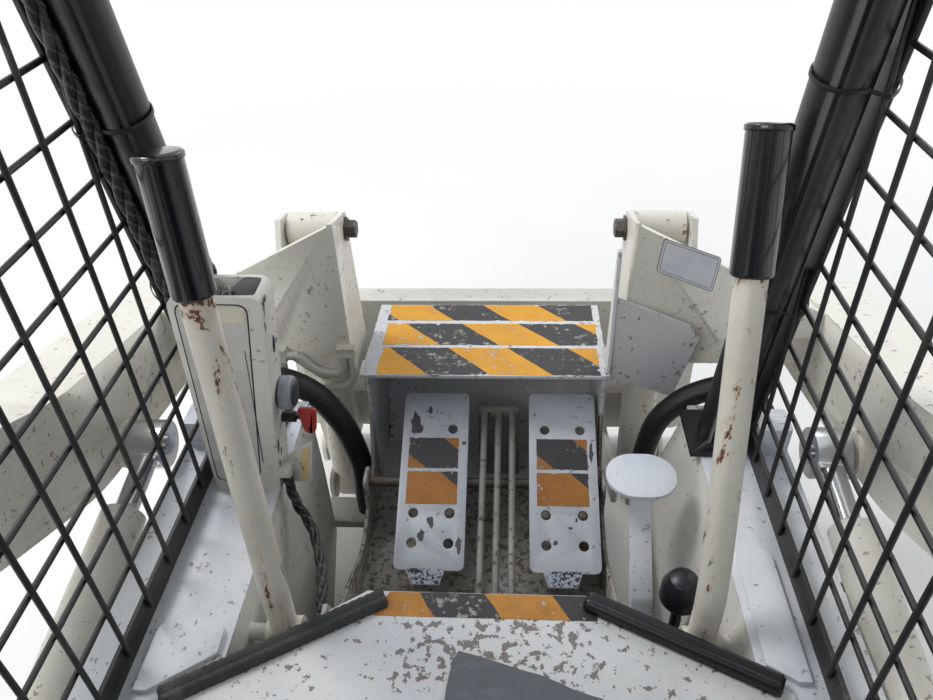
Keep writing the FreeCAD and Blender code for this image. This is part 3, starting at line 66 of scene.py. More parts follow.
class Value:
    """One socket of a node tree, so that Python's operators add its Math nodes."""

    def __init__(self, tree, socket):
        self.tree = tree
        self.socket = socket

    def output(self, name):
        return Value(self.tree, self.socket.node.outputs[name])

    def math(self, operation, *values):
        return self.tree.add("ShaderNodeMath", {"operation": operation}, dict(enumerate(values)))

    def __add__(self, other):
        return self.math("ADD", self, other)

    __radd__ = __add__

    def __sub__(self, other):
        return self.math("SUBTRACT", self, other)

    def __rsub__(self, other):
        return self.math("SUBTRACT", other, self)

    def __mul__(self, other):
        return self.math("MULTIPLY", self, other)

    __rmul__ = __mul__

    def __truediv__(self, other):
        return self.math("DIVIDE", self, other)

    def __pow__(self, other):
        return self.math("POWER", self, other)

    def __lt__(self, other):
        return self.math("LESS_THAN", self, other)

    def __mod__(self, other):
        return self.math("FLOORED_MODULO", self, other)

    def __abs__(self):
        return self.math("ABSOLUTE", self)

    def least(self, other):
        return self.math("MINIMUM", self, other)

    def most(self, other):
        return self.math("MAXIMUM", self, other)

    def step(self, low, high):
        """0 below low, 1 above high, smooth between."""
        return self.tree.add("ShaderNodeMapRange", {"interpolation_type": "SMOOTHSTEP"},
                             {"Value": self, "From Min": low, "From Max": high})


class Tree:
    """A node tree. One method adds any node."""

    def __init__(self, nodes):
        self.nodes = nodes
        nodes.nodes.clear()

    def add(self, kind, settings=None, sockets=None):
        node = self.nodes.nodes.new(kind)
        for name, value in (settings or {}).items():
            if name == "stops":
                set_stops(node.color_ramp, value)
            else:
                setattr(node, name, value)
        for name, value in (sockets or {}).items():
            if isinstance(value, Value):
                self.nodes.links.new(value.socket, node.inputs[name])
            else:
                node.inputs[name].default_value = value
        live = [socket for socket in node.outputs if socket.enabled]
        return Value(self, live[0]) if live else node


def set_stops(ramp, stops):
    while len(ramp.elements) > 1:
        ramp.elements.remove(ramp.elements[0])
    for number, (place, colour) in enumerate(stops):
        element = ramp.elements[0] if number == 0 else ramp.elements.new(place)
        element.position = place
        element.color = tint(colour)


def tint(colour):
    """A colour as four linear numbers, from a hex text or a grey."""
    if isinstance(colour, (int, float)):
        return (colour, colour, colour, 1.0)
    parts = [int(colour[at:at + 2], 16) / 255 for at in (1, 3, 5)]
    linear = [part / 12.92 if part <= 0.04045 else ((part + 0.055) / 1.055) ** 2.4 for part in parts]
    return (*linear, 1.0)


class Finish(Tree):
    """A material, built up from masks over the piece's own coordinates."""

    def __init__(self, name):
        self.material = bpy.data.materials.new(name)
        self.material.use_nodes = True
        super().__init__(self.material.node_tree)
        self.place = self.add("ShaderNodeTexCoord").output("Object")

    def noise(self, scale, detail=4.0, roughness=0.55, stretch=(1, 1, 1), shift=(0, 0, 0)):
        place = self.add("ShaderNodeMapping", None, {
            "Vector": self.place, "Scale": stretch, "Location": shift})
        return self.add("ShaderNodeTexNoise", None, {
            "Vector": place, "Scale": scale, "Detail": detail, "Roughness": roughness})

    def axes(self):
        split = self.add("ShaderNodeSeparateXYZ", None, {0: self.place})
        return split, split.output("Y"), split.output("Z")

    def mix(self, mask, first, second):
        """The first colour where the mask is 0, the second where it is 1."""
        node = self.nodes.nodes.new("ShaderNodeMix")
        node.data_type = "RGBA"
        for index, value in ((0, mask), (6, first), (7, second)):
            if isinstance(value, Value):
                self.nodes.links.new(value.socket, node.inputs[index])
            else:
                node.inputs[index].default_value = value if index == 0 else tint(value)
        return Value(self, node.outputs[2])

    def attribute(self, name):
        return self.add("ShaderNodeAttribute", {"attribute_name": name}).output("Fac")

    def bump(self, height, distance, strength):
        return self.add("ShaderNodeBump", None, {
            "Height": height, "Distance": distance, "Strength": strength})

    def close(self, colour, roughness, metallic=0.0, normal=None, coat=0.0):
        sockets = {"Base Color": colour, "Roughness": roughness, "Metallic": metallic, "Coat Weight": coat}
        if normal is not None:
            sockets["Normal"] = normal
        shader = self.add("ShaderNodeBsdfPrincipled", None, sockets)
        self.add("ShaderNodeOutputMaterial", None, {"Surface": shader})
        return self.material


def worn_paint(name, colour, second, rust, chips, grime, gloss=0.38, pits=0.5, crowd=None, dark="#6e6250"):
    """Old paint: chipped on edges and in patches, pitted, with grime and streaks that run down.

    The amounts go from 0 to 1, and crowd gives a mask where the pits crowd together.
    """
    finish = Finish(name)
    edge = finish.attribute("edge")
    broad = finish.noise(2.6, 5, 0.6)
    patch = finish.noise(9, 8, 0.68, shift=(3, 1, 2))
    speck = finish.noise(46, 6, 0.7, shift=(7, 4, 1))
    crumb = finish.noise(95, 4, 0.62, shift=(2, 9, 4))
    fine = finish.noise(210, 3, 0.6)
    streak = finish.noise(5, 6, 0.6, stretch=(9, 9, 1.1))
    near = crowd(finish) if crowd else 0.0
    wear = patch * 0.5 + speck * 0.5 + edge * (0.06 + 0.09 * chips) + (broad - 0.5) * 0.16
    chipped = wear.step(0.668 - 0.045 * chips, 0.676 - 0.045 * chips)
    rim = wear.step(0.63 - 0.045 * chips, 0.67 - 0.045 * chips)
    pitted = (crumb + near * 0.09 + (patch - 0.5) * 0.25).step(0.655 - 0.05 * pits, 0.668 - 0.05 * pits)
    stain = (crumb + near * 0.06 + (patch - 0.5) * 0.25).step(0.6 - 0.05 * pits, 0.68 - 0.05 * pits)
    rusty = finish.add("ShaderNodeValToRGB", {"stops": (
        (0.3, "#1d1614"), (0.5, "#33231d"), (0.66, "#4d3024"), (0.8, "#6d452e"))}, {0: speck})
    clean = finish.mix(broad.step(0.35, 0.7), colour, second)
    dirty = finish.mix((streak.step(0.5, 0.82) * 0.5 + patch.step(0.52, 0.82) * 0.5) * grime, clean, dark)
    stained = finish.mix((rim * 0.4 + stain * 0.4) * rust, dirty, "#a3703f")
    spotted = finish.mix(pitted * (0.35 + 0.6 * pits), stained, "#3a2a26")
    shown = finish.mix(chipped, spotted, rusty)
    rough = gloss + 0.14 * patch + chipped * 0.3 + pitted * 0.2
    height = (1 - chipped) * 0.6 - pitted * 0.3 + fine * 0.1 + patch * 0.2
    return finish.close(shown, rough.least(0.95), normal=finish.bump(height, 0.0011, 0.5))


def bare_metal(name, colour, dark, rough, metallic, rust):
    """Dark metal, browned by rust in patches."""
    finish = Finish(name)
    patch = finish.noise(11, 7, 0.65)
    fine = finish.noise(160, 4, 0.6)
    old = patch.step(0.52 - 0.2 * rust, 0.72)
    base = finish.mix(fine, colour, dark)
    shown = finish.mix(old * min(1.0, 0.45 + rust), base, "#4b2f20")
    return finish.close(shown, rough + old * 0.3, metallic * (1 - old),
                        normal=finish.bump(fine * 0.5 + patch * 0.5, 0.0008, 0.5))


def dusty_black(name, colour, dust, amount, gloss, bumpy=0.3, coat=0.0):
    """Black paint or rubber, with dust in patches and scuffs."""
    finish = Finish(name)
    patch = finish.noise(7, 7, 0.66)
    fine = finish.noise(120, 5, 0.65)
    scuff = finish.noise(18, 8, 0.75, stretch=(1, 1, 0.35), shift=(2, 5, 1))
    spotted = patch.step(0.45, 0.8) * 0.5 + scuff.step(0.58, 0.66) * 0.5 + fine.step(0.55, 0.8) * 0.25
    dusted = spotted * amount
    shown = finish.mix(dusted.least(1.0), colour, dust)
    rough = gloss + patch * 0.16 + dusted * 0.4
    relief = finish.bump(fine * bumpy + patch * 0.4, 0.0009, 0.35)
    return finish.close(shown, rough.least(0.95), normal=relief, coat=coat)


def wrapped_loom(name, colour, dust):
    """Tape wound round a bundle: slanted laps with dusty edges."""
    finish = Finish(name)
    across, along, up = finish.axes()
    warp = finish.noise(14, 3) * 0.02
    lap = ((across * 0.8 + along * 0.9 + up * 1.3 + warp) / 0.017) % 1.0
    ridge = lap.step(0.0, 0.25) - lap.step(0.75, 1.0)
    fine = finish.noise(170, 4)
    dusted = ((1 - ridge) * 0.5 + finish.noise(26, 6).step(0.5, 0.72) * 0.6).least(1.0)
    return finish.close(finish.mix(dusted * 0.7, colour, dust), 0.42 + dusted * 0.3,
                        normal=finish.bump(ridge * 0.8 + fine * 0.2, 0.0016, 0.9))


def tread_tape(name, slant, shift, band, worn, slope=None, brown=0.0, bright="#e0a029"):
    """Grit tape in slanted orange and black bands, scuffed through to the paint.

    A slope is the pivot's place forward, its height and its tilt.
    """
    finish = Finish(name)
    across, along, up = finish.axes()
    if slope:
        along = (along - slope[0]) * math.cos(slope[2]) + (up - slope[1]) * math.sin(slope[2])
    wave = (finish.noise(30, 4) - 0.5) * 0.006
    black = ((across + along * slant + shift + wave) % (2 * band)) < band
    grit = finish.noise(420, 2, 0.7)
    patch = finish.noise(16, 8, 0.72, shift=(1, 6, 3))
    speck = finish.noise(85, 6, 0.72, shift=(5, 2, 8))
    edge = finish.attribute("edge")
    orange = finish.mix(patch.step(0.35, 0.75) * (0.3 + brown), bright, "#8a5420")
    dark = finish.mix(grit, "#1f2023", "#35343a")
    tape = finish.mix(black, orange, dark)
    rubbed = patch * 0.45 + speck * 0.55 + edge * 0.12 + black * 0.025
    scuffed = rubbed.step(0.62 - 0.09 * worn, 0.66 - 0.09 * worn)
    under = finish.mix(speck.step(0.4, 0.7), "#8f877c", "#c9c4ba")
    gone = (patch + edge * 0.25).step(0.69 - 0.06 * worn, 0.71 - 0.06 * worn)
    shown = finish.mix(gone, finish.mix(scuffed * 0.75, tape, under), "#cfccc5")
    height = grit * 0.5 * (1 - scuffed) - scuffed * 0.3 - gone * 0.5
    return finish.close(shown, 0.6 + scuffed * 0.2 - black * 0.1, normal=finish.bump(height, 0.0009, 0.7))


def chrome_rod(name, eye=None):
    """Plated rod under an oily film. An eye, given as (along, up, radius), is painted."""
    finish = Finish(name)
    fine = finish.noise(90, 4, 0.6)
    film = finish.noise(6, 5, 0.6).step(0.5, 0.8)
    shown, painted = finish.mix(film * 0.5, "#c9ccd0", "#8d8a80"), 0.0
    if eye:
        across, along, up = finish.axes()
        out = ((along - eye[0]) * (along - eye[0]) + (up - eye[1]) * (up - eye[1])) ** 0.5
        painted = out < eye[2]
        patch = finish.noise(40, 7, 0.7)
        paint = finish.mix(patch.step(0.58, 0.64), "#dedacd", "#8a5a3a")
        shown = finish.mix(painted, shown, paint)
    return finish.close(shown, 0.14 + film * 0.25 + fine * 0.05 + painted * 0.25, 0.95 - painted * 0.95)


UNDER_GRIP = (0.735, 0.772)


def lever_paint(name):
    """Cream paint with rust that bleeds down from under the grip and from one long scratch."""
    finish = Finish(name)
    across, along, up = finish.axes()
    patch = finish.noise(9, 8, 0.68)
    line = finish.noise(34, 6, 0.7, stretch=(1.6, 1.6, 0.12))
    speck = finish.noise(70, 6, 0.7)
    ring = up.step(*UNDER_GRIP)
    streaked = (line + (speck - 0.5) * 0.35).step(0.615, 0.65)
    rusty = (streaked + (speck + ring * 0.2).step(0.72, 0.78)).least(1.0)
    bleed = (line.step(0.54, 0.66) * 0.5 + (speck * 0.4 + ring * 0.5).step(0.5, 0.8) * 0.5).least(1.0)
    base = finish.mix(patch.step(0.4, 0.8) * 0.5, "#dcd8cb", "#b9b2a2")
    shown = finish.mix(rusty, finish.mix(bleed * 0.6, base, "#b58347"), "#6b3f26")
    relief = finish.bump(patch * 0.3 - rusty * 0.4, 0.001, 0.6)
    return finish.close(shown, 0.34 + rusty * 0.4 + patch * 0.1, normal=relief)


def seat_vinyl(name, colour, pale):
    """Grained vinyl, scuffed pale in long streaks."""
    finish = Finish(name)
    grain = finish.add("ShaderNodeTexVoronoi", {"feature": "F1"}, {"Vector": finish.place, "Scale": 420.0})
    scuff = finish.noise(9, 8, 0.75, stretch=(1, 3.5, 1))
    patch = finish.noise(5, 6, 0.65)
    worn = scuff.step(0.48, 0.66) * 0.55 + patch.step(0.5, 0.8) * 0.35
    return finish.close(finish.mix(worn, colour, pale), 0.5 + worn * 0.25,
                        normal=finish.bump(grain * 0.5 + scuff * 0.5, 0.0008, 0.5))


def white_to(tree):
    """1 for the camera, and for gloss and glass, which see a white studio."""
    path = tree.add("ShaderNodeLightPath")
    mirrored = path.output("Is Glossy Ray").most(path.output("Is Transmission Ray"))
    return path.output("Is Camera Ray").most(mirrored)


def plain_floor(name):
    """Pale floor, which goes white away from the object."""
    finish = Finish(name)
    grain = finish.noise(3, 3)
    shader = finish.add("ShaderNodeBsdfDiffuse", None, {"Color": finish.mix(grain, "#e9e7e3", "#efeeeb")})
    across, along, up = finish.axes()
    far = ((across * across + along * along) ** 0.5).step(1.3, 3.6)
    glow = finish.add("ShaderNodeEmission", None, {"Color": tint("#ffffff"), "Strength": 1.0})
    both = finish.add("ShaderNodeMixShader", None, {0: far * white_to(finish), 1: shader, 2: glow})
    finish.add("ShaderNodeOutputMaterial", None, {"Surface": both})
    return finish.material


def moulded(name, colour, second, rough=0.4, coat=0.0):
    """Moulded plastic or enamel with a slight mottle."""
    finish = Finish(name)
    patch = finish.noise(24, 5, 0.6)
    fine = finish.noise(300, 3)
    return finish.close(finish.mix(patch.step(0.35, 0.75), colour, second), rough + patch * 0.15,
                        normal=finish.bump(fine * 0.4 + patch * 0.6, 0.0005, 0.3), coat=coat)


def stippled(name):
    """Paint worn to a stipple of pale and dark grains."""
    finish = Finish(name)
    grain = finish.noise(230, 4, 0.7)
    patch = finish.noise(30, 4, 0.6)
    dark = (grain + (patch - 0.5) * 0.3).step(0.5, 0.53)
    return finish.close(finish.mix(dark, "#aeb6c6", "#23242a"), 0.5, normal=finish.bump(grain, 0.0005, 0.5))


BOOT_ACROSS = 0.02


def middle_of_pan(finish):
    """1 in the middle of the seat pan's front, where boots have chipped it, falling to 0 round it."""
    across, along, up = finish.axes()
    return (1 - abs(across - BOOT_ACROSS).step(0.06, 0.15)) * along.step(0.10, 0.13)


def low_down(finish):
    """1 low in the footwell, falling to 0 at knee height."""
    return 1 - finish.axes()[2].step(0.2, 0.42)


WHITE = worn_paint("white_worn_paint", "#dad8d0", "#cbc8bf", 0.4, 0.2, 0.28, pits=0.18)
CREAM = worn_paint("cream_arm_paint", "#e4e1d6", "#d9d5c8", 0.35, 0.1, 0.2, 0.34, pits=0.2)
PAN_PAINT = worn_paint("seat_pan_paint", "#e4e3df", "#d3d7df", 0.75, 0.15, 0.2, 0.36, pits=0.52,
                       crowd=middle_of_pan)
COVER_PAINT = worn_paint("fender_cover_paint", "#e2e4e7", "#ccd3de", 0.45, 0.1, 0.22, 0.33, pits=0.25)
STEP_PAINT = worn_paint("step_paint", "#dcdbd6", "#c6c9cf", 0.5, 0.35, 0.3, 0.5, pits=0.35)
# Footwell and seat riser: a greyer base than the white paint and near-black grime, partly dirt and partly
# painted shade of the well and of the space under the seat; the pits crowd low down, so it darkens towards
# the bottom.
WELL_PAINT_AND_SHADE = worn_paint("footwell_paint", "#b4b2ab", "#918e86", 0.5, 0.45, 0.8, 0.5, pits=0.45,
                        crowd=low_down, dark="#2b2722")
PEDAL_PAINT = worn_paint("pedal_paint", "#cdd1d6", "#b5bac2", 0.25, 0.25, 0.25, 0.42, pits=0.22,
                         dark="#55524b")
DIRTY_ROD = worn_paint("linkage_paint", "#a9aaa8", "#7c7a75", 0.4, 0.7, 0.8, 0.5, pits=0.8, dark="#37322b")
LEVER_PAINT = lever_paint("lever_paint")
BLACK_TUBE = dusty_black("guard_black_paint", "#101114", "#5f5b54", 0.35, 0.26)
BLACK_WIRE = dusty_black("mesh_black_paint", "#16171a", "#7a746b", 0.55, 0.42)
GRIP_RUBBER = dusty_black("grip_black_rubber", "#0b0d13", "#3f3d3b", 0.22, 0.16, coat=0.5)
HOSE_RUBBER = dusty_black("hose_black_rubber", "#121316", "#4d4a44", 0.6, 0.36)
TRIM_BLACK = dusty_black("right_trim_rubber", "#0e1016", "#3c3b3a", 0.3, 0.3)
TRIM_GREY = dusty_black("left_trim_rubber", "#37383a", "#7d7a74", 0.75, 0.6, 1.0)
DARK_PLASTIC = dusty_black("dark_moulding", "#12151d", "#3f3e3c", 0.4, 0.3)
LOOM = wrapped_loom("taped_loom", "#1b1c1f", "#77736c")
SEAT_COVER = seat_vinyl("seat_cover", "#2c2d31", "#77777a")
FLAP_COVER = seat_vinyl("torn_flap_cover", "#62656b", "#8a8d92")
STEEL = bare_metal("dark_steel", "#6a665f", "#4a4641", 0.5, 0.6, 0.35)
CHROME = chrome_rod("cylinder_rod_chrome")
TILT_ROD = chrome_rod("tilt_rod_painted_eye", (0.700, 0.614, 0.034))
PLATE_GREY = moulded("console_panel_film", "#c9c8c3", "#b0afaa", 0.42)
PLATE_LINE = moulded("console_panel_line", "#1a1a1c", "#2b2b2d", 0.5)
PLATE_CREAM = moulded("blank_label", "#d8d3bf", "#cbc5b0", 0.45)
PLATE_BLUE = moulded("blank_instruction_plate", "#e6e9ee", "#d3d8e0", 0.36)
# Near-black for holes: painted shade inside the console's side hole and the key tag's hole
HOLE_SHADE = moulded("deep_shade", "#08080a", "#0e0e10", 0.8)
TAG_RED = moulded("key_tag_red", "#b0352c", "#9a2b25", 0.45)
DIAL_NAVY = moulded("dial_cap", "#1c2430", "#27303c", 0.3, 0.3)
DIAL_RING = moulded("dial_ring", "#8f969e", "#6f767e", 0.35)
TIE_BLACK = moulded("cable_tie", "#131316", "#2a2a2d", 0.4)

FINISH_OF = {
    "white_paint": WHITE,
    "black_paint": BLACK_TUBE,
    "grey_metal": STEEL,
    "tread_tape": PEDAL_PAINT,
    "seat_cover": SEAT_COVER,
    "black_rubber": HOSE_RUBBER,
    "dark_plastic": DARK_PLASTIC,
    "rod_chrome": CHROME,
}
OWN_FINISH = {
    "lift_arm_left": CREAM,
    "lift_arm_right": CREAM,
    "lift_barrel_left": CREAM,
    "lift_barrel_right": CREAM,
    "tilt_barrel_left": CREAM,
    "tilt_barrel_right": CREAM,
    "seat_pan": PAN_PAINT,
    "seat_riser": WELL_PAINT_AND_SHADE,
    "fender_covers": COVER_PAINT,
    "footwell": WELL_PAINT_AND_SHADE,
    "step_box": STEP_PAINT,
    "linkage_rods": DIRTY_ROD,
    "lever_left": LEVER_PAINT,
    "lever_right": LEVER_PAINT,
    "foot_pad": COVER_PAINT,
    "tilt_rod_left": TILT_ROD,
    "tilt_rod_right": TILT_ROD,
    "grip_left": GRIP_RUBBER,
    "grip_right": GRIP_RUBBER,
    "post_harness": LOOM,
    "console_harness": LOOM,
    "knee_pipes": WHITE,
}


# Meshes

def new_piece(name, mesh, finish, body=None):
    piece = bpy.data.objects.new(name, mesh)
    bpy.context.scene.collection.objects.link(piece)
    mesh.materials.clear()
    mesh.materials.append(finish)
    if body:
        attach(piece, body)
    return piece


def settle(piece, name):
    """The piece's modifiers applied, as a plain mesh."""
    bpy.context.view_layer.update()
    graph = bpy.context.evaluated_depsgraph_get()
    mesh = bpy.data.meshes.new_from_object(piece.evaluated_get(graph))
    mesh.name = name
    piece.modifiers.clear()
    return mesh


def round_edges(piece, width, segments=2):
    """The piece's sharp edges rounded, and the rounding marked for the paint's wear."""
    mesh = piece.data
    finish = mesh.materials[0]
    mesh.materials.append(finish)
    rounding = piece.modifiers.new("rounding", "BEVEL")
    rounding.width = width
    rounding.segments = segments
    rounding.limit_method = "ANGLE"
    rounding.angle_limit = math.radians(32)
    rounding.use_clamp_overlap = True
    rounding.material = 1
    final = settle(piece, piece.name)
    values = np.zeros(len(final.loops), np.float32)
    for face in final.polygons:
        values[face.loop_start:face.loop_start + face.loop_total] = face.material_index
        face.material_index = 0
    final.attributes.new("edge", "FLOAT", "CORNER").data.foreach_set("value", values)
    piece.data = final
    final.materials.clear()
    final.materials.append(finish)
    final.shade_smooth()
    final.set_sharp_from_angle(angle=math.radians(38))
    return piece


BEND_LEAST = 0.2
BEAM_INNER = 0.485


def bend_edges(shape, radius):
    """The long edges of the arms' box beams rounded as folded plate is."""
    long_edges = [edge for edge in shape.edges
                  if len(edge.link_faces) == 2 and edge.calc_length() > BEND_LEAST
                  and edge.calc_face_angle() > math.radians(60)
                  and min(abs(vertex.co.x) for vertex in edge.verts) > BEAM_INNER]
    bmesh.ops.bevel(shape, geom=long_edges, offset=radius, segments=5, profile=0.5, affect="EDGES",
                    clamp_overlap=True)


def soften(node, width, bend=0.0):
    """A CAD node's shape with its edges rounded, or only smooth where the width is 0."""
    mesh = NODES[node].data.copy()
    shape = bmesh.new()
    shape.from_mesh(mesh)
    bmesh.ops.remove_doubles(shape, verts=shape.verts, dist=1e-5)
    bmesh.ops.dissolve_limit(shape, angle_limit=math.radians(1.5), verts=shape.verts, edges=shape.edges)
    if bend:
        bend_edges(shape, bend)
    shape.to_mesh(mesh)
    shape.free()
    for face in mesh.polygons:
        face.material_index = 0
    piece = new_piece(node + "_shell", mesh, OWN_FINISH.get(node) or FINISH_OF[SLOT_OF[node]])
    if width:
        round_edges(piece, width)
    mesh = piece.data
    mesh.shade_smooth()
    mesh.set_sharp_from_angle(angle=math.radians(38))
    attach(piece, BODY_OF[node])
    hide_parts(node)
    return piece


def spot(origin, across, up):
    """A place on a surface: its own X runs across, its own Y up, and its own Z out of the surface."""
    first = Vector(across).normalized()
    second = Vector(up).normalized()
    return Matrix.Translation(origin) @ Matrix((first, second, first.cross(second))).transposed().to_4x4()


def rounded(corners, radius, steps=5):
    points = []
    for number, place in enumerate(corners):
        corner = Vector(place)
        back = (Vector(corners[number - 1]) - corner).normalized() * radius
        ahead = (Vector(corners[(number + 1) % len(corners)]) - corner).normalized() * radius
        for step in range(steps + 1):
            part = step / steps
            points.append(corner + back * (1 - part) ** 2 + ahead * part ** 2)
    return points


def as_mesh(name, shape, where=None):
    """The shape as a mesh in its place, with its faces outwards."""
    bmesh.ops.recalc_face_normals(shape, faces=shape.faces)
    if where:
        bmesh.ops.transform(shape, matrix=where, verts=shape.verts)
    mesh = bpy.data.meshes.new(name)
    shape.to_mesh(mesh)
    shape.free()
    return mesh


def thicken(shape, faces, way):
    """Flat faces drawn out into a plate."""
    raised = bmesh.ops.extrude_face_region(shape, geom=faces)["geom"]
    corners = [part for part in raised if isinstance(part, bmesh.types.BMVert)]
    bmesh.ops.translate(shape, vec=way, verts=corners)


def join_rings(shape, rings):
    """Walls between each ring and the next, and a cap on each end."""
    for low, high in zip(rings, rings[1:]):
        for turn in range(len(low)):
            onward = (turn + 1) % len(low)
            shape.faces.new((low[turn], low[onward], high[onward], high[turn]))
    shape.faces.new(rings[0][::-1])
    shape.faces.new(rings[-1])


def plate(name, outline, thick, where, finish, body, edge=0.0):
    """A flat piece that stands on a surface."""
    shape = bmesh.new()
    face = shape.faces.new([shape.verts.new((point[0], point[1], 0)) for point in outline])
    thicken(shape, [face], (0, 0, thick))
    piece = new_piece(name, as_mesh(name, shape, where), finish, body)
    return round_edges(piece, edge) if edge else piece


def circle(steps):
    return [math.tau * turn / steps for turn in range(steps)]


def lathe(name, outline, where, finish, body, steps=40):
    """A round piece about the spot's own Z. Each corner is (along, radius)."""
    shape = bmesh.new()
    join_rings(shape, [[shape.verts.new((radius * math.cos(angle), radius * math.sin(angle), along))
                        for angle in circle(steps)] for along, radius in outline])
    return round_edges(new_piece(name, as_mesh(name, shape, where), finish, body), 0.0006)


def swept(name, profile, start, end, finish, body, steps, ripple, seed):
    """A profile drawn along a straight run and rippled a little. Profile points are (out, up)."""
    chance = np.random.default_rng(seed)
    first, last = Vector(start), Vector(end)
    side = (last - first).cross(Vector((0, 0, 1))).normalized()
    shape = bmesh.new()
    rings = []
    for step in range(steps + 1):
        shrink = 1.0 if 0 < step < steps else 0.8
        shake = ripple * math.sin(step * 1.9) + ripple * chance.normal(0, 0.5, len(profile))
        middle = first.lerp(last, step / steps)
        ring = []
        for (out, up), shift in zip(profile, shake):
            height = max(0.0, up * shrink + shift)
            ring.append(shape.verts.new(middle + side * out * shrink + Vector((0, 0, height))))
        rings.append(ring)
    join_rings(shape, rings)
    mesh = as_mesh(name, shape)
    mesh.shade_smooth()
    return new_piece(name, mesh, finish, body)


# Trees for what repeats

def new_tree(name, inputs):
    group = bpy.data.node_groups.new(name, "GeometryNodeTree")
    group.interface.new_socket("Geometry", in_out="INPUT", socket_type="NodeSocketGeometry")
    for label, kind in inputs:
        group.interface.new_socket(label, in_out="INPUT", socket_type=kind)
    group.interface.new_socket("Geometry", in_out="OUTPUT", socket_type="NodeSocketGeometry")
    tree = Tree(group)
    return group, tree, tree.add("NodeGroupInput")


def finish_tree(tree, shape, start):
    real = tree.add("GeometryNodeRealizeInstances", None, {"Geometry": shape})
    dressed = tree.add("GeometryNodeSetMaterial", None, {
        "Geometry": real, "Material": start.output("Finish")})
    tree.add("NodeGroupOutput", None, {"Geometry": dressed})


def rods_tree():
    """Each edge of the piece becomes a round rod."""
    group, tree, start = new_tree("rods", (
        ("Rod Radius", "NodeSocketFloat"), ("Sides", "NodeSocketInt"), ("Finish", "NodeSocketMaterial")))
    lines = tree.add("GeometryNodeMeshToCurve", None, {"Mesh": start.output("Geometry")})
    ring = tree.add("GeometryNodeCurvePrimitiveCircle", None, {
        "Resolution": start.output("Sides"), "Radius": start.output("Rod Radius")})
    rods = tree.add("GeometryNodeCurveToMesh", None, {
        "Curve": lines, "Profile Curve": ring, "Fill Caps": True})
    finish_tree(tree, rods, start)
    return group


def copies_tree():
    """A copy of one piece at each point, each turned by a random amount."""
    group, tree, start = new_tree("copies", (
        ("Copy", "NodeSocketObject"), ("Turn", "NodeSocketFloat"), ("Seed", "NodeSocketInt"),
        ("Finish", "NodeSocketMaterial")))
    info = tree.add("GeometryNodeObjectInfo", None, {"Object": start.output("Copy")}).output("Geometry")
    turn = tree.add("FunctionNodeRandomValue", {"data_type": "FLOAT"}, {
        2: 0.0, 3: start.output("Turn"), 8: start.output("Seed")})
    spin = tree.add("ShaderNodeCombineXYZ", None, {"Z": turn})
    facing = tree.add("GeometryNodeInputNamedAttribute", {"data_type": "FLOAT_VECTOR"}, {"Name": "facing"})
    placed = tree.add("GeometryNodeInstanceOnPoints", None, {
        "Points": start.output("Geometry"), "Instance": info, "Rotation": facing})
    turned = tree.add("GeometryNodeRotateInstances", None, {"Instances": placed, "Rotation": spin})
    finish_tree(tree, turned, start)
    return group


def grow(piece, group, name, values):
    """The piece run through a tree, with its inputs set by socket identifier."""
    step = piece.modifiers.new("tree", "NODES")
    step.node_group = group
    for item in group.interface.items_tree:
        if item.in_out == "INPUT" and item.name in values:
            step[item.identifier] = values[item.name]
    piece.data = settle(piece, name)
    return piece


def line_mesh(name, lines):
    points = [point for line in lines for point in line]
    mesh = bpy.data.meshes.new(name)
    mesh.from_pydata(points, [(number, number + 1) for number in range(0, len(points), 2)], [])
    return mesh


def inset(corners, by):
    """A convex outline, drawn anticlockwise, moved inwards."""
    lines = []
    for number, place in enumerate(corners):
        start, end = Vector(place), Vector(corners[(number + 1) % len(corners)])
        along = (end - start).normalized()
        lines.append((start + Vector((-along.y, along.x)) * by, along))
    points = []
    for (first, ahead), (second, onward) in zip(lines[-1:] + lines[:-1], lines):
        gap = second - first
        reach = (gap.x * onward.y - gap.y * onward.x) / (ahead.x * onward.y - ahead.y * onward.x)
        points.append(first + ahead * reach)
    return points


def ragged(low, high, amount, seed, pitch=0.005):
    """A rectangle whose edges wander, with a bite here and there."""
    chance = np.random.default_rng(seed)
    corners = [Vector(low), Vector((high[0], low[1])), Vector(high), Vector((low[0], high[1]))]
    points = []
    for number, corner in enumerate(corners):
        end = corners[(number + 1) % 4]
        inward = Vector((-(end - corner).y, (end - corner).x)).normalized()
        count = int((end - corner).length / pitch)
        for step in range(count):
            bite = 3.0 if chance.random() > 0.9 else 1.0
            points.append(corner.lerp(end, step / count) + inward * abs(chance.normal(0, amount)) * bite)
    return points


def oval(across, up, wide, tall, steps=28):
    return [Vector((across + wide * math.cos(angle), up + tall * math.sin(angle))) for angle in circle(steps)]


def blob(across, up, wide, tall, seed):
    """The outline of a chip in the paint."""
    chance = np.random.default_rng(seed)
    middle = Vector((across, up))
    return [middle + (corner - middle) * chance.uniform(0.55, 1.25)
            for corner in oval(across, up, wide, tall, 11)]


def route(points):
    """Places along the smooth line that the points steer."""
    line = bpy.data.curves.new("route", "CURVE")
    line.dimensions = "3D"
    spline = line.splines.new("NURBS")
    spline.points.add(len(points) - 1)
    for place, point in zip(points, spline.points):
        point.co = (*place, 1.0)
    spline.order_u = 3
    spline.use_endpoint_u = True
    spline.resolution_u = 14
    holder = bpy.data.objects.new("route", line)
    mesh = bpy.data.meshes.new_from_object(holder)
    places = [vertex.co.copy() for vertex in mesh.vertices]
    bpy.data.objects.remove(holder)
    return places


def frames(places):
    """At each place, two directions across the line, turned as little as possible on the way."""
    across = (places[1] - places[0]).orthogonal().normalized()
    found = []
    for number, place in enumerate(places):
        ahead = (places[min(number + 1, len(places) - 1)] - places[max(number - 1, 0)]).normalized()
        across = (across - ahead * across.dot(ahead)).normalized()
        found.append((place, across, ahead.cross(across)))
    return found


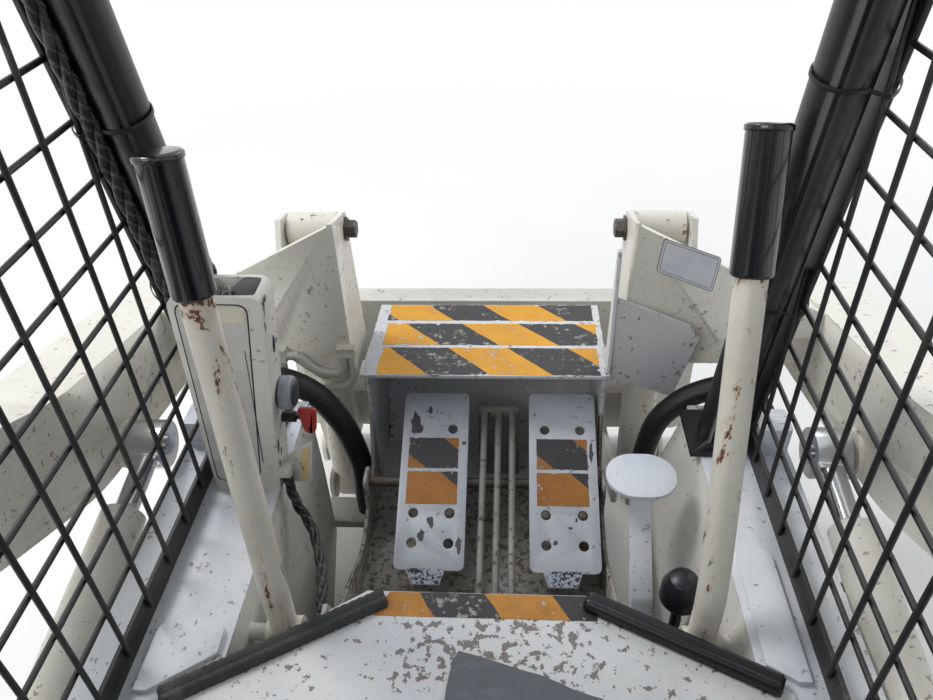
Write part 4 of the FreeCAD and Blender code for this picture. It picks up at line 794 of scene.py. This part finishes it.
def pipes(name, lines, finish, body, sides):
    """Round pipes. Each line is (places, radius)."""
    shape = bmesh.new()
    for places, radius in lines:
        rings = []
        for place, across, over in frames(places):
            outward = [across * math.cos(angle) + over * math.sin(angle) for angle in circle(sides)]
            rings.append([shape.verts.new(place + way * radius) for way in outward])
        join_rings(shape, rings)
    mesh = as_mesh(name, shape)
    mesh.shade_smooth()
    mesh.set_sharp_from_angle(angle=math.radians(50))
    return new_piece(name, mesh, finish, body)


def twisted(places, count, offset, radius, pitch):
    """Strands wound round a line."""
    lines = []
    for strand in range(count):
        turned, gone, last = [], 0.0, places[0]
        for place, across, over in frames(places):
            gone += (place - last).length
            last = place
            angle = math.tau * (gone / pitch + strand / count)
            turned.append(place + (across * math.cos(angle) + over * math.sin(angle)) * offset)
        lines.append((turned, radius))
    return lines


def even(start, end, step):
    start, end = Vector(start), Vector(end)
    count = int((end - start).length / step) + 1
    return [start.lerp(end, number / count) for number in range(count + 1)]


# Paint, edges and smooth tubes of the CAD pieces

EDGE_WIDTH = {
    "step_box": 0.0014, "seat_pan": 0.0014, "seat_riser": 0.001, "footwell": 0.0014, "console_box": 0.0022,
    "foot_pad": 0.0012, "chain_cases": 0.002, "fender_covers": 0.002, "belly_plate": 0.002,
    "bulkhead": 0.0015, "arm_towers": 0.003, "guard_roof": 0.0012, "coupler": 0.0025,
    "pedal_left": 0.0014, "pedal_right": 0.0014,
    "throttle_knob": 0.0008, "console_controls": 0.001, "lift_arm_left": 0.0024, "lift_arm_right": 0.0024,
    "hub_front_left": 0.0014, "hub_front_right": 0.0014, "hub_rear_left": 0.0014, "hub_rear_right": 0.0014,
    "grip_left": 0.0015, "grip_right": 0.0015, "linkage_rods": 0.0008, "lift_barrel_left": 0.0012,
    "lift_barrel_right": 0.0012, "tilt_barrel_left": 0.0012, "tilt_barrel_right": 0.0012,
}
ONLY_SMOOTH = ("guard_frame", "lever_left", "lever_right", "front_hoses", "knee_pipes", "arm_cross_tube",
               "pedal_shaft", "lift_rod_left", "lift_rod_right", "tilt_rod_left", "tilt_rod_right")
ARM_BEND = 0.014

for node, width in EDGE_WIDTH.items():
    soften(node, width, ARM_BEND if node.startswith("lift_arm") else 0.0)
for node in ONLY_SMOOTH:
    soften(node, 0)

# Tread tapes on the step, the pedals and the seat pan

GRIT = 0.0005
STEP_REAR, STEP_HIGH = 0.595, 0.420
STEP_FALL, STEP_DEEP = 0.020, 0.223
STEP_SLOPE = math.atan2(STEP_FALL, STEP_DEEP)
STEP_FACE = spot((0, STEP_REAR, STEP_HIGH), (1, 0, 0), (0, math.cos(STEP_SLOPE), -math.sin(STEP_SLOPE)))


def tape(name, outline, where, node, *look):
    plate(name, outline, GRIT, where, tread_tape(name, *look), BODY_OF[node])


for row, (left, right, near, far, slant, shift) in enumerate((
    (-0.167, 0.176, 0.002, 0.080, 0.90, -0.4513),
    (-0.169, 0.180, 0.088, 0.157, 0.95, -0.5749),
    (-0.172, 0.179, 0.167, 0.222, 0.90, -0.6288),
)):
    tape("step_tape_%d" % row, ragged((left, near), (right, far), 0.0008, 3 + row), STEP_FACE, "step_box",
         slant, shift, 0.095, 0.62)

PEDAL_ACROSS = {"pedal_left": -0.076, "pedal_right": 0.120}
PEDAL_FORE, PEDAL_HIGH, PEDAL_TILT = 0.510, 0.277, math.radians(25.6)
PEDAL_FACE = 0.026
PEDAL_SLOPE = (PEDAL_FORE, PEDAL_HIGH, PEDAL_TILT)
PEDAL_UP = Vector((0, math.cos(PEDAL_TILT), math.sin(PEDAL_TILT)))
PEDAL_OUT = Vector((0, -PEDAL_UP.z, PEDAL_UP.y))
PEDAL_TOP = {}
for pedal, across in PEDAL_ACROSS.items():
    pivot = Vector((across, PEDAL_FORE, PEDAL_HIGH))
    PEDAL_TOP[pedal] = spot(pivot + PEDAL_OUT * PEDAL_FACE, (1, 0, 0), PEDAL_UP)
TAB = [(0.023, -0.136), (0.0155, -0.1575), (-0.0235, -0.1575), (-0.031, -0.136)]
STIPPLE = stippled("worn_tab")
PRIMER = moulded("bared_primer", "#3b3c40", "#55565a", 0.6)
for number, (pedal, top) in enumerate(PEDAL_TOP.items()):
    across = PEDAL_ACROSS[pedal]
    tape(pedal + "_upper_tape", ragged((-0.040, 0.014), (0.037, 0.063), 0.0003, 20 + number), top, pedal,
         1.2, -0.005 - across, 0.084, 0.35, PEDAL_SLOPE, 0.5, "#a06a2c")
    tape(pedal + "_lower_tape", ragged((-0.040, -0.042), (0.037, 0.009), 0.0003, 30 + number), top, pedal,
         1.2, -0.020 - across, 0.110, 0.4, PEDAL_SLOPE, 0.6, "#a8702e")
    plate(pedal + "_worn_tab", TAB, 0.0003, top, STIPPLE, BODY_OF[pedal])

for number, (pedal, across, up, wide, tall) in enumerate((
    ("pedal_left", -0.033, 0.085, 0.008, 0.019),
    ("pedal_left", -0.010, 0.110, 0.003, 0.008),
    ("pedal_left", -0.001, -0.068, 0.005, 0.010),
    ("pedal_left", -0.013, -0.088, 0.006, 0.008),
    ("pedal_left", 0.042, -0.100, 0.005, 0.013),
    ("pedal_left", 0.045, 0.055, 0.003, 0.004),
    ("pedal_right", 0.043, 0.040, 0.004, 0.016),
    ("pedal_right", -0.014, -0.096, 0.004, 0.004),
    ("pedal_right", 0.008, -0.074, 0.004, 0.002),
    ("pedal_right", 0.017, -0.062, 0.002, 0.004),
)):
    plate("paint_chip_%d" % number, blob(across, up, wide, tall, 50 + number), 0.00025, PEDAL_TOP[pedal],
          PRIMER, BODY_OF[pedal])

PAN_TOP = 0.398
tape("pan_tape", [(-0.113, 0.195), (0.138, 0.195), (0.141, 0.2265), (-0.097, 0.2265)],
     spot((0, 0, PAN_TOP), (1, 0, 0), (0, 1, 0)), "seat_pan",
     0.62, -0.0773, 0.076, 0.75, None, 0.4, "#c88a38")

# Bolts

def bolt_form(name, radius, tall):
    """A hexagon head on its washer, standing on its own XY plane."""
    washer, rim = radius * 1.35, tall * 0.18
    profile = ((0, washer), (rim, washer), (rim, radius), (tall * 0.9, radius), (tall, radius * 0.86))
    piece = lathe(name, profile, Matrix(), STEEL, None, 6)
    piece.hide_render = True
    return piece


COPIES = copies_tree()


def bolts(name, places, radius, tall, node, seed):
    """One bolt at each place, which is a point and the way that it faces."""
    form = bolt_form(name + "_form", radius, tall)
    mesh = bpy.data.meshes.new(name)
    mesh.from_pydata([place for place, facing in places], [], [])
    turns = np.array([facing.to_track_quat("Z", "Y").to_euler() for place, facing in places], np.float32)
    mesh.attributes.new("facing", "FLOAT_VECTOR", "POINT").data.foreach_set("vector", turns.ravel())
    piece = new_piece(name, mesh, STEEL)
    grow(piece, COPIES, name, {"Copy": form, "Turn": math.tau, "Seed": seed, "Finish": STEEL})
    bpy.data.objects.remove(form)
    piece.data.shade_smooth()
    piece.data.set_sharp_from_angle(angle=math.radians(30))
    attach(piece, BODY_OF[node])


def pedal_bolts(name, pedal, sides, seed):
    places = [(PEDAL_TOP[pedal] @ Vector((side * 0.027, -0.0554, -0.002)), PEDAL_OUT) for side in sides]
    bolts(name, places, 0.0055, 0.0045, pedal, seed)


pedal_bolts("pedal_left_bolt", "pedal_left", (1,), 1)
pedal_bolts("pedal_right_bolts", "pedal_right", (-1, 1), 2)
bolts("knee_bolts", [(Vector((side * 0.2055, 0.700, 0.614)), Vector((-side, 0, 0))) for side in (-1, 1)],
      0.0142, 0.0165, "lift_arm_left", 3)

# Mesh screens: a flat bar frame, and rods in two layers

SCREEN_LOW, SCREEN_HIGH, SCREEN_REAR, SCREEN_FORE = 0.394, 1.440, -0.430, 0.514
SCREEN_RAKE = 0.206
BAR, BAR_IN, BAR_THICK = 0.034, 0.364, 0.006
ROD, ROD_IN, ROD_OUT = 0.003, 0.361, 0.3673
PITCH, FIRST_UPRIGHT, FIRST_LEVEL = 0.060, 0.549, 0.482
LAP, CLEAR, TUCK = 0.020, 0.026, 0.004
SCREENS = BODY_OF["side_screens"]


def screen_front(up):
    return SCREEN_FORE - SCREEN_RAKE * (up - SCREEN_LOW)


def screen_corners(margin):
    low, high, rear = SCREEN_LOW + margin, SCREEN_HIGH - margin, SCREEN_REAR + margin
    return [(rear, low), (screen_front(low) - margin, low), (screen_front(high) - margin, high), (rear, high)]


def screen_bars(side):
    shape = bmesh.new()
    outer, inner = [[shape.verts.new((side * BAR_IN, fore, up)) for fore, up in screen_corners(margin)]
                    for margin in (0, BAR)]
    flat = [shape.faces.new((outer[n], outer[(n + 1) % 4], inner[(n + 1) % 4], inner[n])) for n in range(4)]
    thicken(shape, flat, (side * BAR_THICK, 0, 0))
    return as_mesh("bars", shape)


def screen_lines(side):
    """The rods' middle lines: uprights on the inside, levels on the outside."""
    lines = []
    fore = FIRST_UPRIGHT
    while fore > SCREEN_REAR + LAP:
        if fore < screen_front(SCREEN_LOW + LAP) - CLEAR:
            top = min(SCREEN_HIGH - LAP, SCREEN_LOW + (SCREEN_FORE - LAP - fore) / SCREEN_RAKE)
            lines.append(((side * ROD_IN, fore, SCREEN_LOW + LAP), (side * ROD_IN, fore, top)))
        fore -= PITCH
    up = FIRST_LEVEL
    while up < SCREEN_HIGH - CLEAR:
        lines.append(((side * ROD_OUT, SCREEN_REAR + BAR - TUCK, up),
                      (side * ROD_OUT, screen_front(up) - BAR + TUCK, up)))
        up += PITCH
    return lines


RODS = rods_tree()
for side, word in ((-1, "left"), (1, "right")):
    rods = new_piece("screen_rods_" + word, line_mesh("rods", screen_lines(side)), BLACK_WIRE)
    grow(rods, RODS, "screen_rods_" + word, {"Rod Radius": ROD, "Sides": 10, "Finish": BLACK_WIRE})
    rods.data.shade_smooth()
    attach(rods, SCREENS)
    bars = new_piece("screen_bars_" + word, screen_bars(side), BLACK_WIRE, SCREENS)
    round_edges(bars, 0.001)
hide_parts("side_screens")

# Console: panel film, blank label, side hole painted as a dark disc of shade, dial, tag, lid and wires

CONSOLE_NEAR = 0.380
NEAR_FACE = spot((0, CONSOLE_NEAR, 0), (1, 0, 0), (0, 0, 1))
CONSOLE = BODY_OF["console_box"]
PANEL = [(-0.345, 0.412), (-0.285, 0.420), (-0.247, 0.693), (-0.331, 0.695)]
LABEL = [(-0.300, 0.668), (-0.255, 0.669), (-0.252, 0.689), (-0.300, 0.689)]
# The seam is a thin near-black strip: painted shade in the panel's recessed relief line
SEAM = [(-0.2775, 0.45), (-0.2765, 0.45), (-0.2625, 0.63), (-0.2635, 0.63)]
for name, outline, thick, finish, slot in (
    ("panel_line", rounded(PANEL, 0.014), 0.0003, PLATE_LINE, "dark_plastic"),
    ("panel_film", rounded(inset(PANEL, 0.0016), 0.013), 0.0005, PLATE_GREY, "white_paint"),
    ("panel_label", rounded(LABEL, 0.002), 0.0008, PLATE_CREAM, "white_paint"),
    ("panel_seam", SEAM, 0.0007, PLATE_LINE, "dark_plastic"),
):
    plate(name, outline, thick, NEAR_FACE, finish, CONSOLE)

SIDE_FOOT, SIDE_LOW = 0.264, 0.394
LEAN = 0.034 / 0.308


def side_spot(fore, up):
    """A place on the console's inner side, which leans."""
    return spot((-(SIDE_FOOT - (up - SIDE_LOW) * LEAN), fore, up), (0, 1, 0), (LEAN, 0, 1))


HOLE_SPOT = side_spot(0.409, 0.619)
plate("side_hole_rim", oval(0, 0, 0.0062, 0.0145), 0.0006, HOLE_SPOT, COVER_PAINT, CONSOLE)
# The hole itself is a near-black disc: painted shade
plate("side_hole", oval(-0.001, 0, 0.0044, 0.0125), 0.0009, HOLE_SPOT, HOLE_SHADE, CONSOLE)
for number, (fore, up, wide, tall) in enumerate((
    (0.386, 0.684, 0.003, 0.011),
    (0.393, 0.692, 0.004, 0.005),
    (0.384, 0.662, 0.002, 0.008),
    (0.412, 0.592, 0.0015, 0.002),
    (0.420, 0.616, 0.0025, 0.004),
    (0.390, 0.470, 0.004, 0.010),
    (0.398, 0.452, 0.003, 0.006),
    (0.388, 0.440, 0.003, 0.008),
)):
    plate("console_chip_%d" % number, blob(0, 0, wide, tall, 70 + number), 0.0003, side_spot(fore, up),
          PRIMER, CONSOLE)

DIAL = spot((-0.2287, 0.412, 0.540), (0, 1, 0), (0, 0, 1))
RING = ((-0.015, 0.0215), (-0.004, 0.0215), (-0.001, 0.0205), (0.0004, 0.0185), (0.0004, 0.012),
        (-0.015, 0.012))
CAP = ((-0.004, 0.0168), (0.0012, 0.0168), (0.0024, 0.0155), (0.003, 0.010), (0.0033, 0.001))
lathe("dial_ring", RING, DIAL, DIAL_RING, CONSOLE, 48)
lathe("dial_cap", CAP, DIAL, DIAL_NAVY, CONSOLE, 48)

TAG_BACK, TAG_THICK = 0.4182, 0.0044
TAG = [(-0.226, 0.4693), (-0.212, 0.4693), (-0.2058, 0.5108), (-0.2322, 0.5108)]
plate("key_tag", rounded(TAG, 0.008), TAG_THICK, spot((0, TAG_BACK, 0), (1, 0, 0), (0, 0, 1)), TAG_RED,
      CONSOLE, 0.0006)
# The tag's hole is a near-black disc on its near face: painted shade
plate("key_tag_hole", oval(-0.219, 0.4765, 0.0024, 0.0024), 0.0002,
      spot((0, TAG_BACK - TAG_THICK, 0), (1, 0, 0), (0, 0, 1)), HOLE_SHADE, CONSOLE)

LID = [(-0.262, 0.3855), (-0.2405, 0.3855), (-0.2405, 0.4225), (-0.262, 0.4225), (-0.266, 0.413),
       (-0.268, 0.404), (-0.266, 0.395)]
plate("console_lid", LID, 0.0026, spot((0, 0, 0.6990), (1, 0, 0), (0, 1, 0)), DARK_PLASTIC, CONSOLE,
      0.00091)
for number, (colour, *places) in enumerate((
    ("#6f8fb0", (-0.288, 0.404, 0.645), (-0.286, 0.402, 0.685), (-0.277, 0.398, 0.700),
     (-0.268, 0.404, 0.694), (-0.264, 0.410, 0.660)),
    ("#b9b4a6", (-0.283, 0.414, 0.645), (-0.284, 0.412, 0.690), (-0.275, 0.408, 0.703),
     (-0.270, 0.398, 0.697), (-0.272, 0.392, 0.650)),
    ("#242426", (-0.279, 0.396, 0.645), (-0.278, 0.394, 0.680), (-0.281, 0.402, 0.699),
     (-0.287, 0.410, 0.693), (-0.289, 0.414, 0.650)),
)):
    pipes("well_wire_%d" % number, [(route(places), 0.0014)], moulded("wire_%d" % number, colour, "#8a8478"),
          CONSOLE, 8)

plate("flap_stain", [(-0.240, 0.403), (-0.2285, 0.403), (-0.2175, 0.463), (-0.229, 0.457)], 0.0003,
      spot((0, 0.396, 0), (1, 0, 0), (0, 0, 1)),
      worn_paint("stained_flap", "#e6cfa2", "#dfc08a", 0.5, 0.2, 0.2), CONSOLE)

# Blank instruction plate on the right knee, with its double border

KNEE_FACE = spot((0, 0.626, 0), (1, 0, 0), (0, 0, 1))
BLANK = [(0.242, 0.586), (0.324, 0.551), (0.329, 0.607), (0.247, 0.638)]
for number, (by, finish, slot) in enumerate((
    (0.0, PLATE_LINE, "dark_plastic"),
    (0.0008, PLATE_BLUE, "white_paint"),
    (0.0036, PLATE_LINE, "dark_plastic"),
    (0.0043, PLATE_BLUE, "white_paint"),
)):
    plate("knee_plate_%d" % number, rounded(inset(BLANK, by), 0.006 - number * 0.001),
          0.0004 + 0.00015 * number, KNEE_FACE, finish, BODY_OF["lift_arm_right"])

# Trims, looms and ties

TRIMS = BODY_OF["pan_trims"]
LEFT_PROFILE = ((-0.0115, 0.0005), (-0.0115, 0.005), (-0.009, 0.010), (-0.004, 0.013), (-0.001, 0.008),
                (0.002, 0.008), (0.005, 0.0135), (0.009, 0.011), (0.0115, 0.005), (0.0115, 0.0005))
RIGHT_PROFILE = ((-0.0105, 0.0005), (-0.0115, 0.006), (-0.009, 0.013), (-0.004, 0.016), (0.0, 0.011),
                 (0.004, 0.016), (0.009, 0.013), (0.0115, 0.006), (0.0105, 0.0005))
swept("left_trim", LEFT_PROFILE, (-0.318, 0.090, PAN_TOP), (-0.101, 0.2165, PAN_TOP), TRIM_GREY, TRIMS,
      90, 0.0007, 5)
trim = swept("right_trim", RIGHT_PROFILE, (0.318, 0.122, PAN_TOP), (0.127, 0.2185, PAN_TOP), TRIM_BLACK,
             TRIMS, 60, 0.0001, 6)
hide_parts("pan_trims")


def loom(name, places, offset, radius, pitch, node):
    """Three taped bundles twisted round each other."""
    piece = pipes(name, twisted(places, 3, offset, radius, pitch), LOOM, BODY_OF[node], 8)
    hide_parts(node)


RAKE = Vector((0, -SCREEN_RAKE, 1)).normalized()
POST_ACROSS, POST_FORE = 0.330, 0.500
LOOM_LONG = 0.820
loom_start = Vector((-POST_ACROSS - 0.0175, POST_FORE - 0.031, 0.402)) + RAKE * 0.260
loom("post_loom", even(loom_start, loom_start + RAKE * LOOM_LONG, 0.006), 0.0042, 0.0045, 0.11,
     "post_harness")
loom("console_loom", route([
    (-0.254, 0.389, 0.420), (-0.254, 0.389, 0.368), (-0.234, 0.381, 0.330), (-0.216, 0.344, 0.328),
    (-0.201, 0.297, 0.324), (-0.194, 0.245, 0.314), (-0.193, 0.205, 0.300), (-0.193, 0.163, 0.298)]),
    0.0035, 0.0039, 0.09, "console_harness")

TIE_INNER, TIE_BULGE = 0.0285, 0.0165
TIE_SECTION = ((0, -0.0022), (0.0013, -0.0022), (0.0013, 0.0022), (0, 0.0022))


def tie(name, middle, outward):
    """A cable tie round a raked post and what is strapped to it."""
    across = Vector((1, 0, 0))
    back = RAKE.cross(across)
    shape = bmesh.new()
    rings = []
    for angle in circle(40):
        over_loom = outward * math.cos(angle) > 0.55 and math.sin(angle) > -0.9
        reach = TIE_INNER + (TIE_BULGE if over_loom else 0.0)
        around = across * math.cos(angle) + back * math.sin(angle)
        rings.append([shape.verts.new(middle + around * (reach + out) + RAKE * up)
                      for out, up in TIE_SECTION])
    for ring, onward in zip(rings, rings[1:] + rings[:1]):
        for corner in range(4):
            shape.faces.new((ring[corner], onward[corner], onward[(corner + 1) % 4], ring[(corner + 1) % 4]))
    piece = new_piece(name, as_mesh(name, shape), TIE_BLACK, BODY_OF["guard_frame"])
    round_edges(piece, 0.0003)


for side, word, heights in ((-1, "left", (0.31, 0.52, 0.74, 0.96)), (1, "right", (0.28, 0.55, 0.83, 1.02))):
    for number, along in enumerate(heights):
        tie("tie_%s_%d" % (word, number), Vector((side * POST_ACROSS, POST_FORE, 0.390)) + RAKE * along, side)

# Seat: padded cushions, and the torn flap that lies on the pan

SHRINK = 0.955
VOXEL = 0.0065
CLOTH_STEPS = 20
MOST_MOVED = 0.012


def places_of(mesh):
    places = np.empty(len(mesh.vertices) * 3, np.float32)
    mesh.vertices.foreach_get("co", places)
    return places.reshape(-1, 3)


def blow_up(piece, name):
    """Cloth under pressure, without gravity, applied to the mesh."""
    cloth = piece.modifiers.new("cloth", "CLOTH")
    cloth.settings.use_pressure = True
    cloth.settings.uniform_pressure_force = 4.0
    cloth.settings.effector_weights.gravity = 0.0
    cloth.settings.tension_stiffness = 12
    cloth.settings.compression_stiffness = 12
    cloth.settings.bending_stiffness = 1.0
    scene = bpy.context.scene
    for step in range(1, CLOTH_STEPS + 1):
        scene.frame_set(step)
    piece.data = settle(piece, name)
    scene.frame_set(1)


def cushion(node):
    """A padded piece: remeshed, blown up a little by cloth, held near its start and in its solid's box."""
    mesh = NODES[node].data.copy()
    piece = new_piece(node + "_padded", mesh, SEAT_COVER, BODY_OF[node])
    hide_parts(node)
    middle = sum((vertex.co for vertex in mesh.vertices), Vector()) / len(mesh.vertices)
    for vertex in mesh.vertices:
        vertex.co = middle + (vertex.co - middle) * SHRINK
    remesh = piece.modifiers.new("remesh", "REMESH")
    remesh.mode = "VOXEL"
    remesh.voxel_size = VOXEL
    piece.data = settle(piece, node + "_start")
    start = places_of(piece.data)
    blow_up(piece, node + "_blown")
    moved = places_of(piece.data) - start
    length = np.linalg.norm(moved, axis=1, keepdims=True)
    moved *= np.minimum(1.0, MOST_MOVED / np.maximum(length, 1e-9))
    solid = places_of(NODES[node].data)
    placed = np.clip(start + moved, solid.min(0), solid.max(0))
    piece.data.vertices.foreach_set("co", placed.astype(np.float32).ravel())
    smooth = piece.modifiers.new("smooth", "SUBSURF")
    smooth.levels = 1
    piece.data = settle(piece, node + "_padded")
    piece.data.materials.clear()
    piece.data.materials.append(SEAT_COVER)
    piece.data.shade_smooth()


cushion("seat_cushion")
cushion("seat_back")

FLAP = [(-0.024, 0.024), (-0.024, 0.099), (-0.023, 0.113), (-0.019, 0.141), (-0.013, 0.154), (0.025, 0.142),
        (0.073, 0.128), (0.109, 0.114), (0.136, 0.106), (0.142, 0.060), (0.140, 0.024)]
FLAP_PITCH = 0.006


def torn_flap():
    """The seat cover's torn front: cut flat, then waved, its far edge curled up."""
    shape = bmesh.new()
    shape.faces.new([shape.verts.new((across, fore, 0)) for across, fore in FLAP])
    for normal, start, stop in ((Vector((1, 0, 0)), -0.02, 0.14), (Vector((0, 1, 0)), 0.03, 0.15)):
        for place in np.arange(start, stop, FLAP_PITCH):
            bmesh.ops.bisect_plane(shape, geom=shape.verts[:] + shape.edges[:] + shape.faces[:],
                                   plane_co=normal * place, plane_no=normal)
    area = sum(face.calc_area() for face in shape.faces)
    for vertex in shape.verts:
        across, fore = vertex.co.x, vertex.co.y
        wave = 0.5 + 0.5 * math.sin(across * 62 + fore * 31)
        curl = max(0.0, (fore - 0.06) / 0.09) ** 2
        vertex.co.z = PAN_TOP + 0.0006 + 0.0022 * wave + 0.004 * curl * (0.6 + 0.4 * math.sin(across * 90))
    mesh = bpy.data.meshes.new("torn_flap")
    shape.to_mesh(mesh)
    shape.free()
    piece = new_piece("torn_flap", mesh, FLAP_COVER)
    wall = piece.modifiers.new("wall", "SOLIDIFY")
    wall.thickness = 0.0014
    wall.offset = 1.0
    piece.data = settle(piece, "torn_flap")
    piece.data.materials.clear()
    piece.data.materials.append(FLAP_COVER)
    piece.data.shade_smooth()
    piece.data.set_sharp_from_angle(angle=math.radians(40))
    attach(piece, BODY_OF["seat_cushion"])


torn_flap()

# Floor, lamps and camera

def make_stage():
    """The floor, just under the part."""
    reach = 12.0
    corners = ((-reach, -reach), (reach, -reach), (reach, reach), (-reach, reach))
    mesh = bpy.data.meshes.new("floor")
    mesh.from_pydata([(*corner, -FLOOR_GAP) for corner in corners], [], [(0, 1, 2, 3)])
    new_piece("floor", mesh, plain_floor("pale_floor"))


def make_lamp(name, place, target, size, power):
    lamp = bpy.data.lights.new(name, "AREA")
    lamp.shape = "SQUARE"
    lamp.size = size
    lamp.energy = power
    holder = bpy.data.objects.new(name, lamp)
    bpy.context.scene.collection.objects.link(holder)
    holder.location = place
    holder.rotation_euler = (Vector(target) - Vector(place)).to_track_quat("-Z", "Y").to_euler()


def make_world():
    world = bpy.data.worlds.new("studio")
    bpy.context.scene.world = world
    world.use_nodes = True
    tree = Tree(world.node_tree)
    shade = tree.add("ShaderNodeBackground", None, {"Color": tint("#e8eef6"), "Strength": 0.68})
    white = tree.add("ShaderNodeBackground", None, {"Color": tint("#ffffff"), "Strength": 1.0})
    both = tree.add("ShaderNodeMixShader", None, {0: white_to(tree), 1: shade, 2: white})
    tree.add("ShaderNodeOutputWorld", None, {"Surface": both})


def make_camera():
    """The photo's own view, from the operator's eye."""
    level = math.cos(LOOK_DOWN)
    ahead = Vector((-math.sin(LOOK_LEFT) * level, math.cos(LOOK_LEFT) * level, -math.sin(LOOK_DOWN)))
    right = Vector((math.cos(LOOK_LEFT), math.sin(LOOK_LEFT), 0))
    up = right.cross(ahead)
    rolled_right = math.cos(HEAD_ROLL) * right + math.sin(HEAD_ROLL) * up
    rolled_up = -math.sin(HEAD_ROLL) * right + math.cos(HEAD_ROLL) * up
    lens = bpy.data.cameras.new("operator_view")
    lens.sensor_width = SENSOR_WIDTH
    lens.lens = FOCAL_PIXELS / PHOTO_WIDTH * SENSOR_WIDTH
    lens.clip_start = 0.02
    camera = bpy.data.objects.new("operator_view", lens)
    bpy.context.scene.collection.objects.link(camera)
    turn = Matrix((rolled_right, rolled_up, -ahead)).transposed()
    camera.matrix_world = Matrix.Translation(EYE) @ turn.to_4x4()
    bpy.context.scene.camera = camera


make_stage()
make_world()
make_lamp("sun_side", (-2.6, 1.8, 4.2), (0, 0.4, 0.4), 1.4, 105)
make_lamp("front_fill", (2.2, 3.2, 2.6), (0, 0.3, 0.5), 2.4, 40)
make_lamp("rear_fill", (-2.4, -2.6, 2.6), (0, 0.5, 0.5), 2.0, 75)
make_camera()
bpy.context.scene.view_settings.view_transform = "Standard"
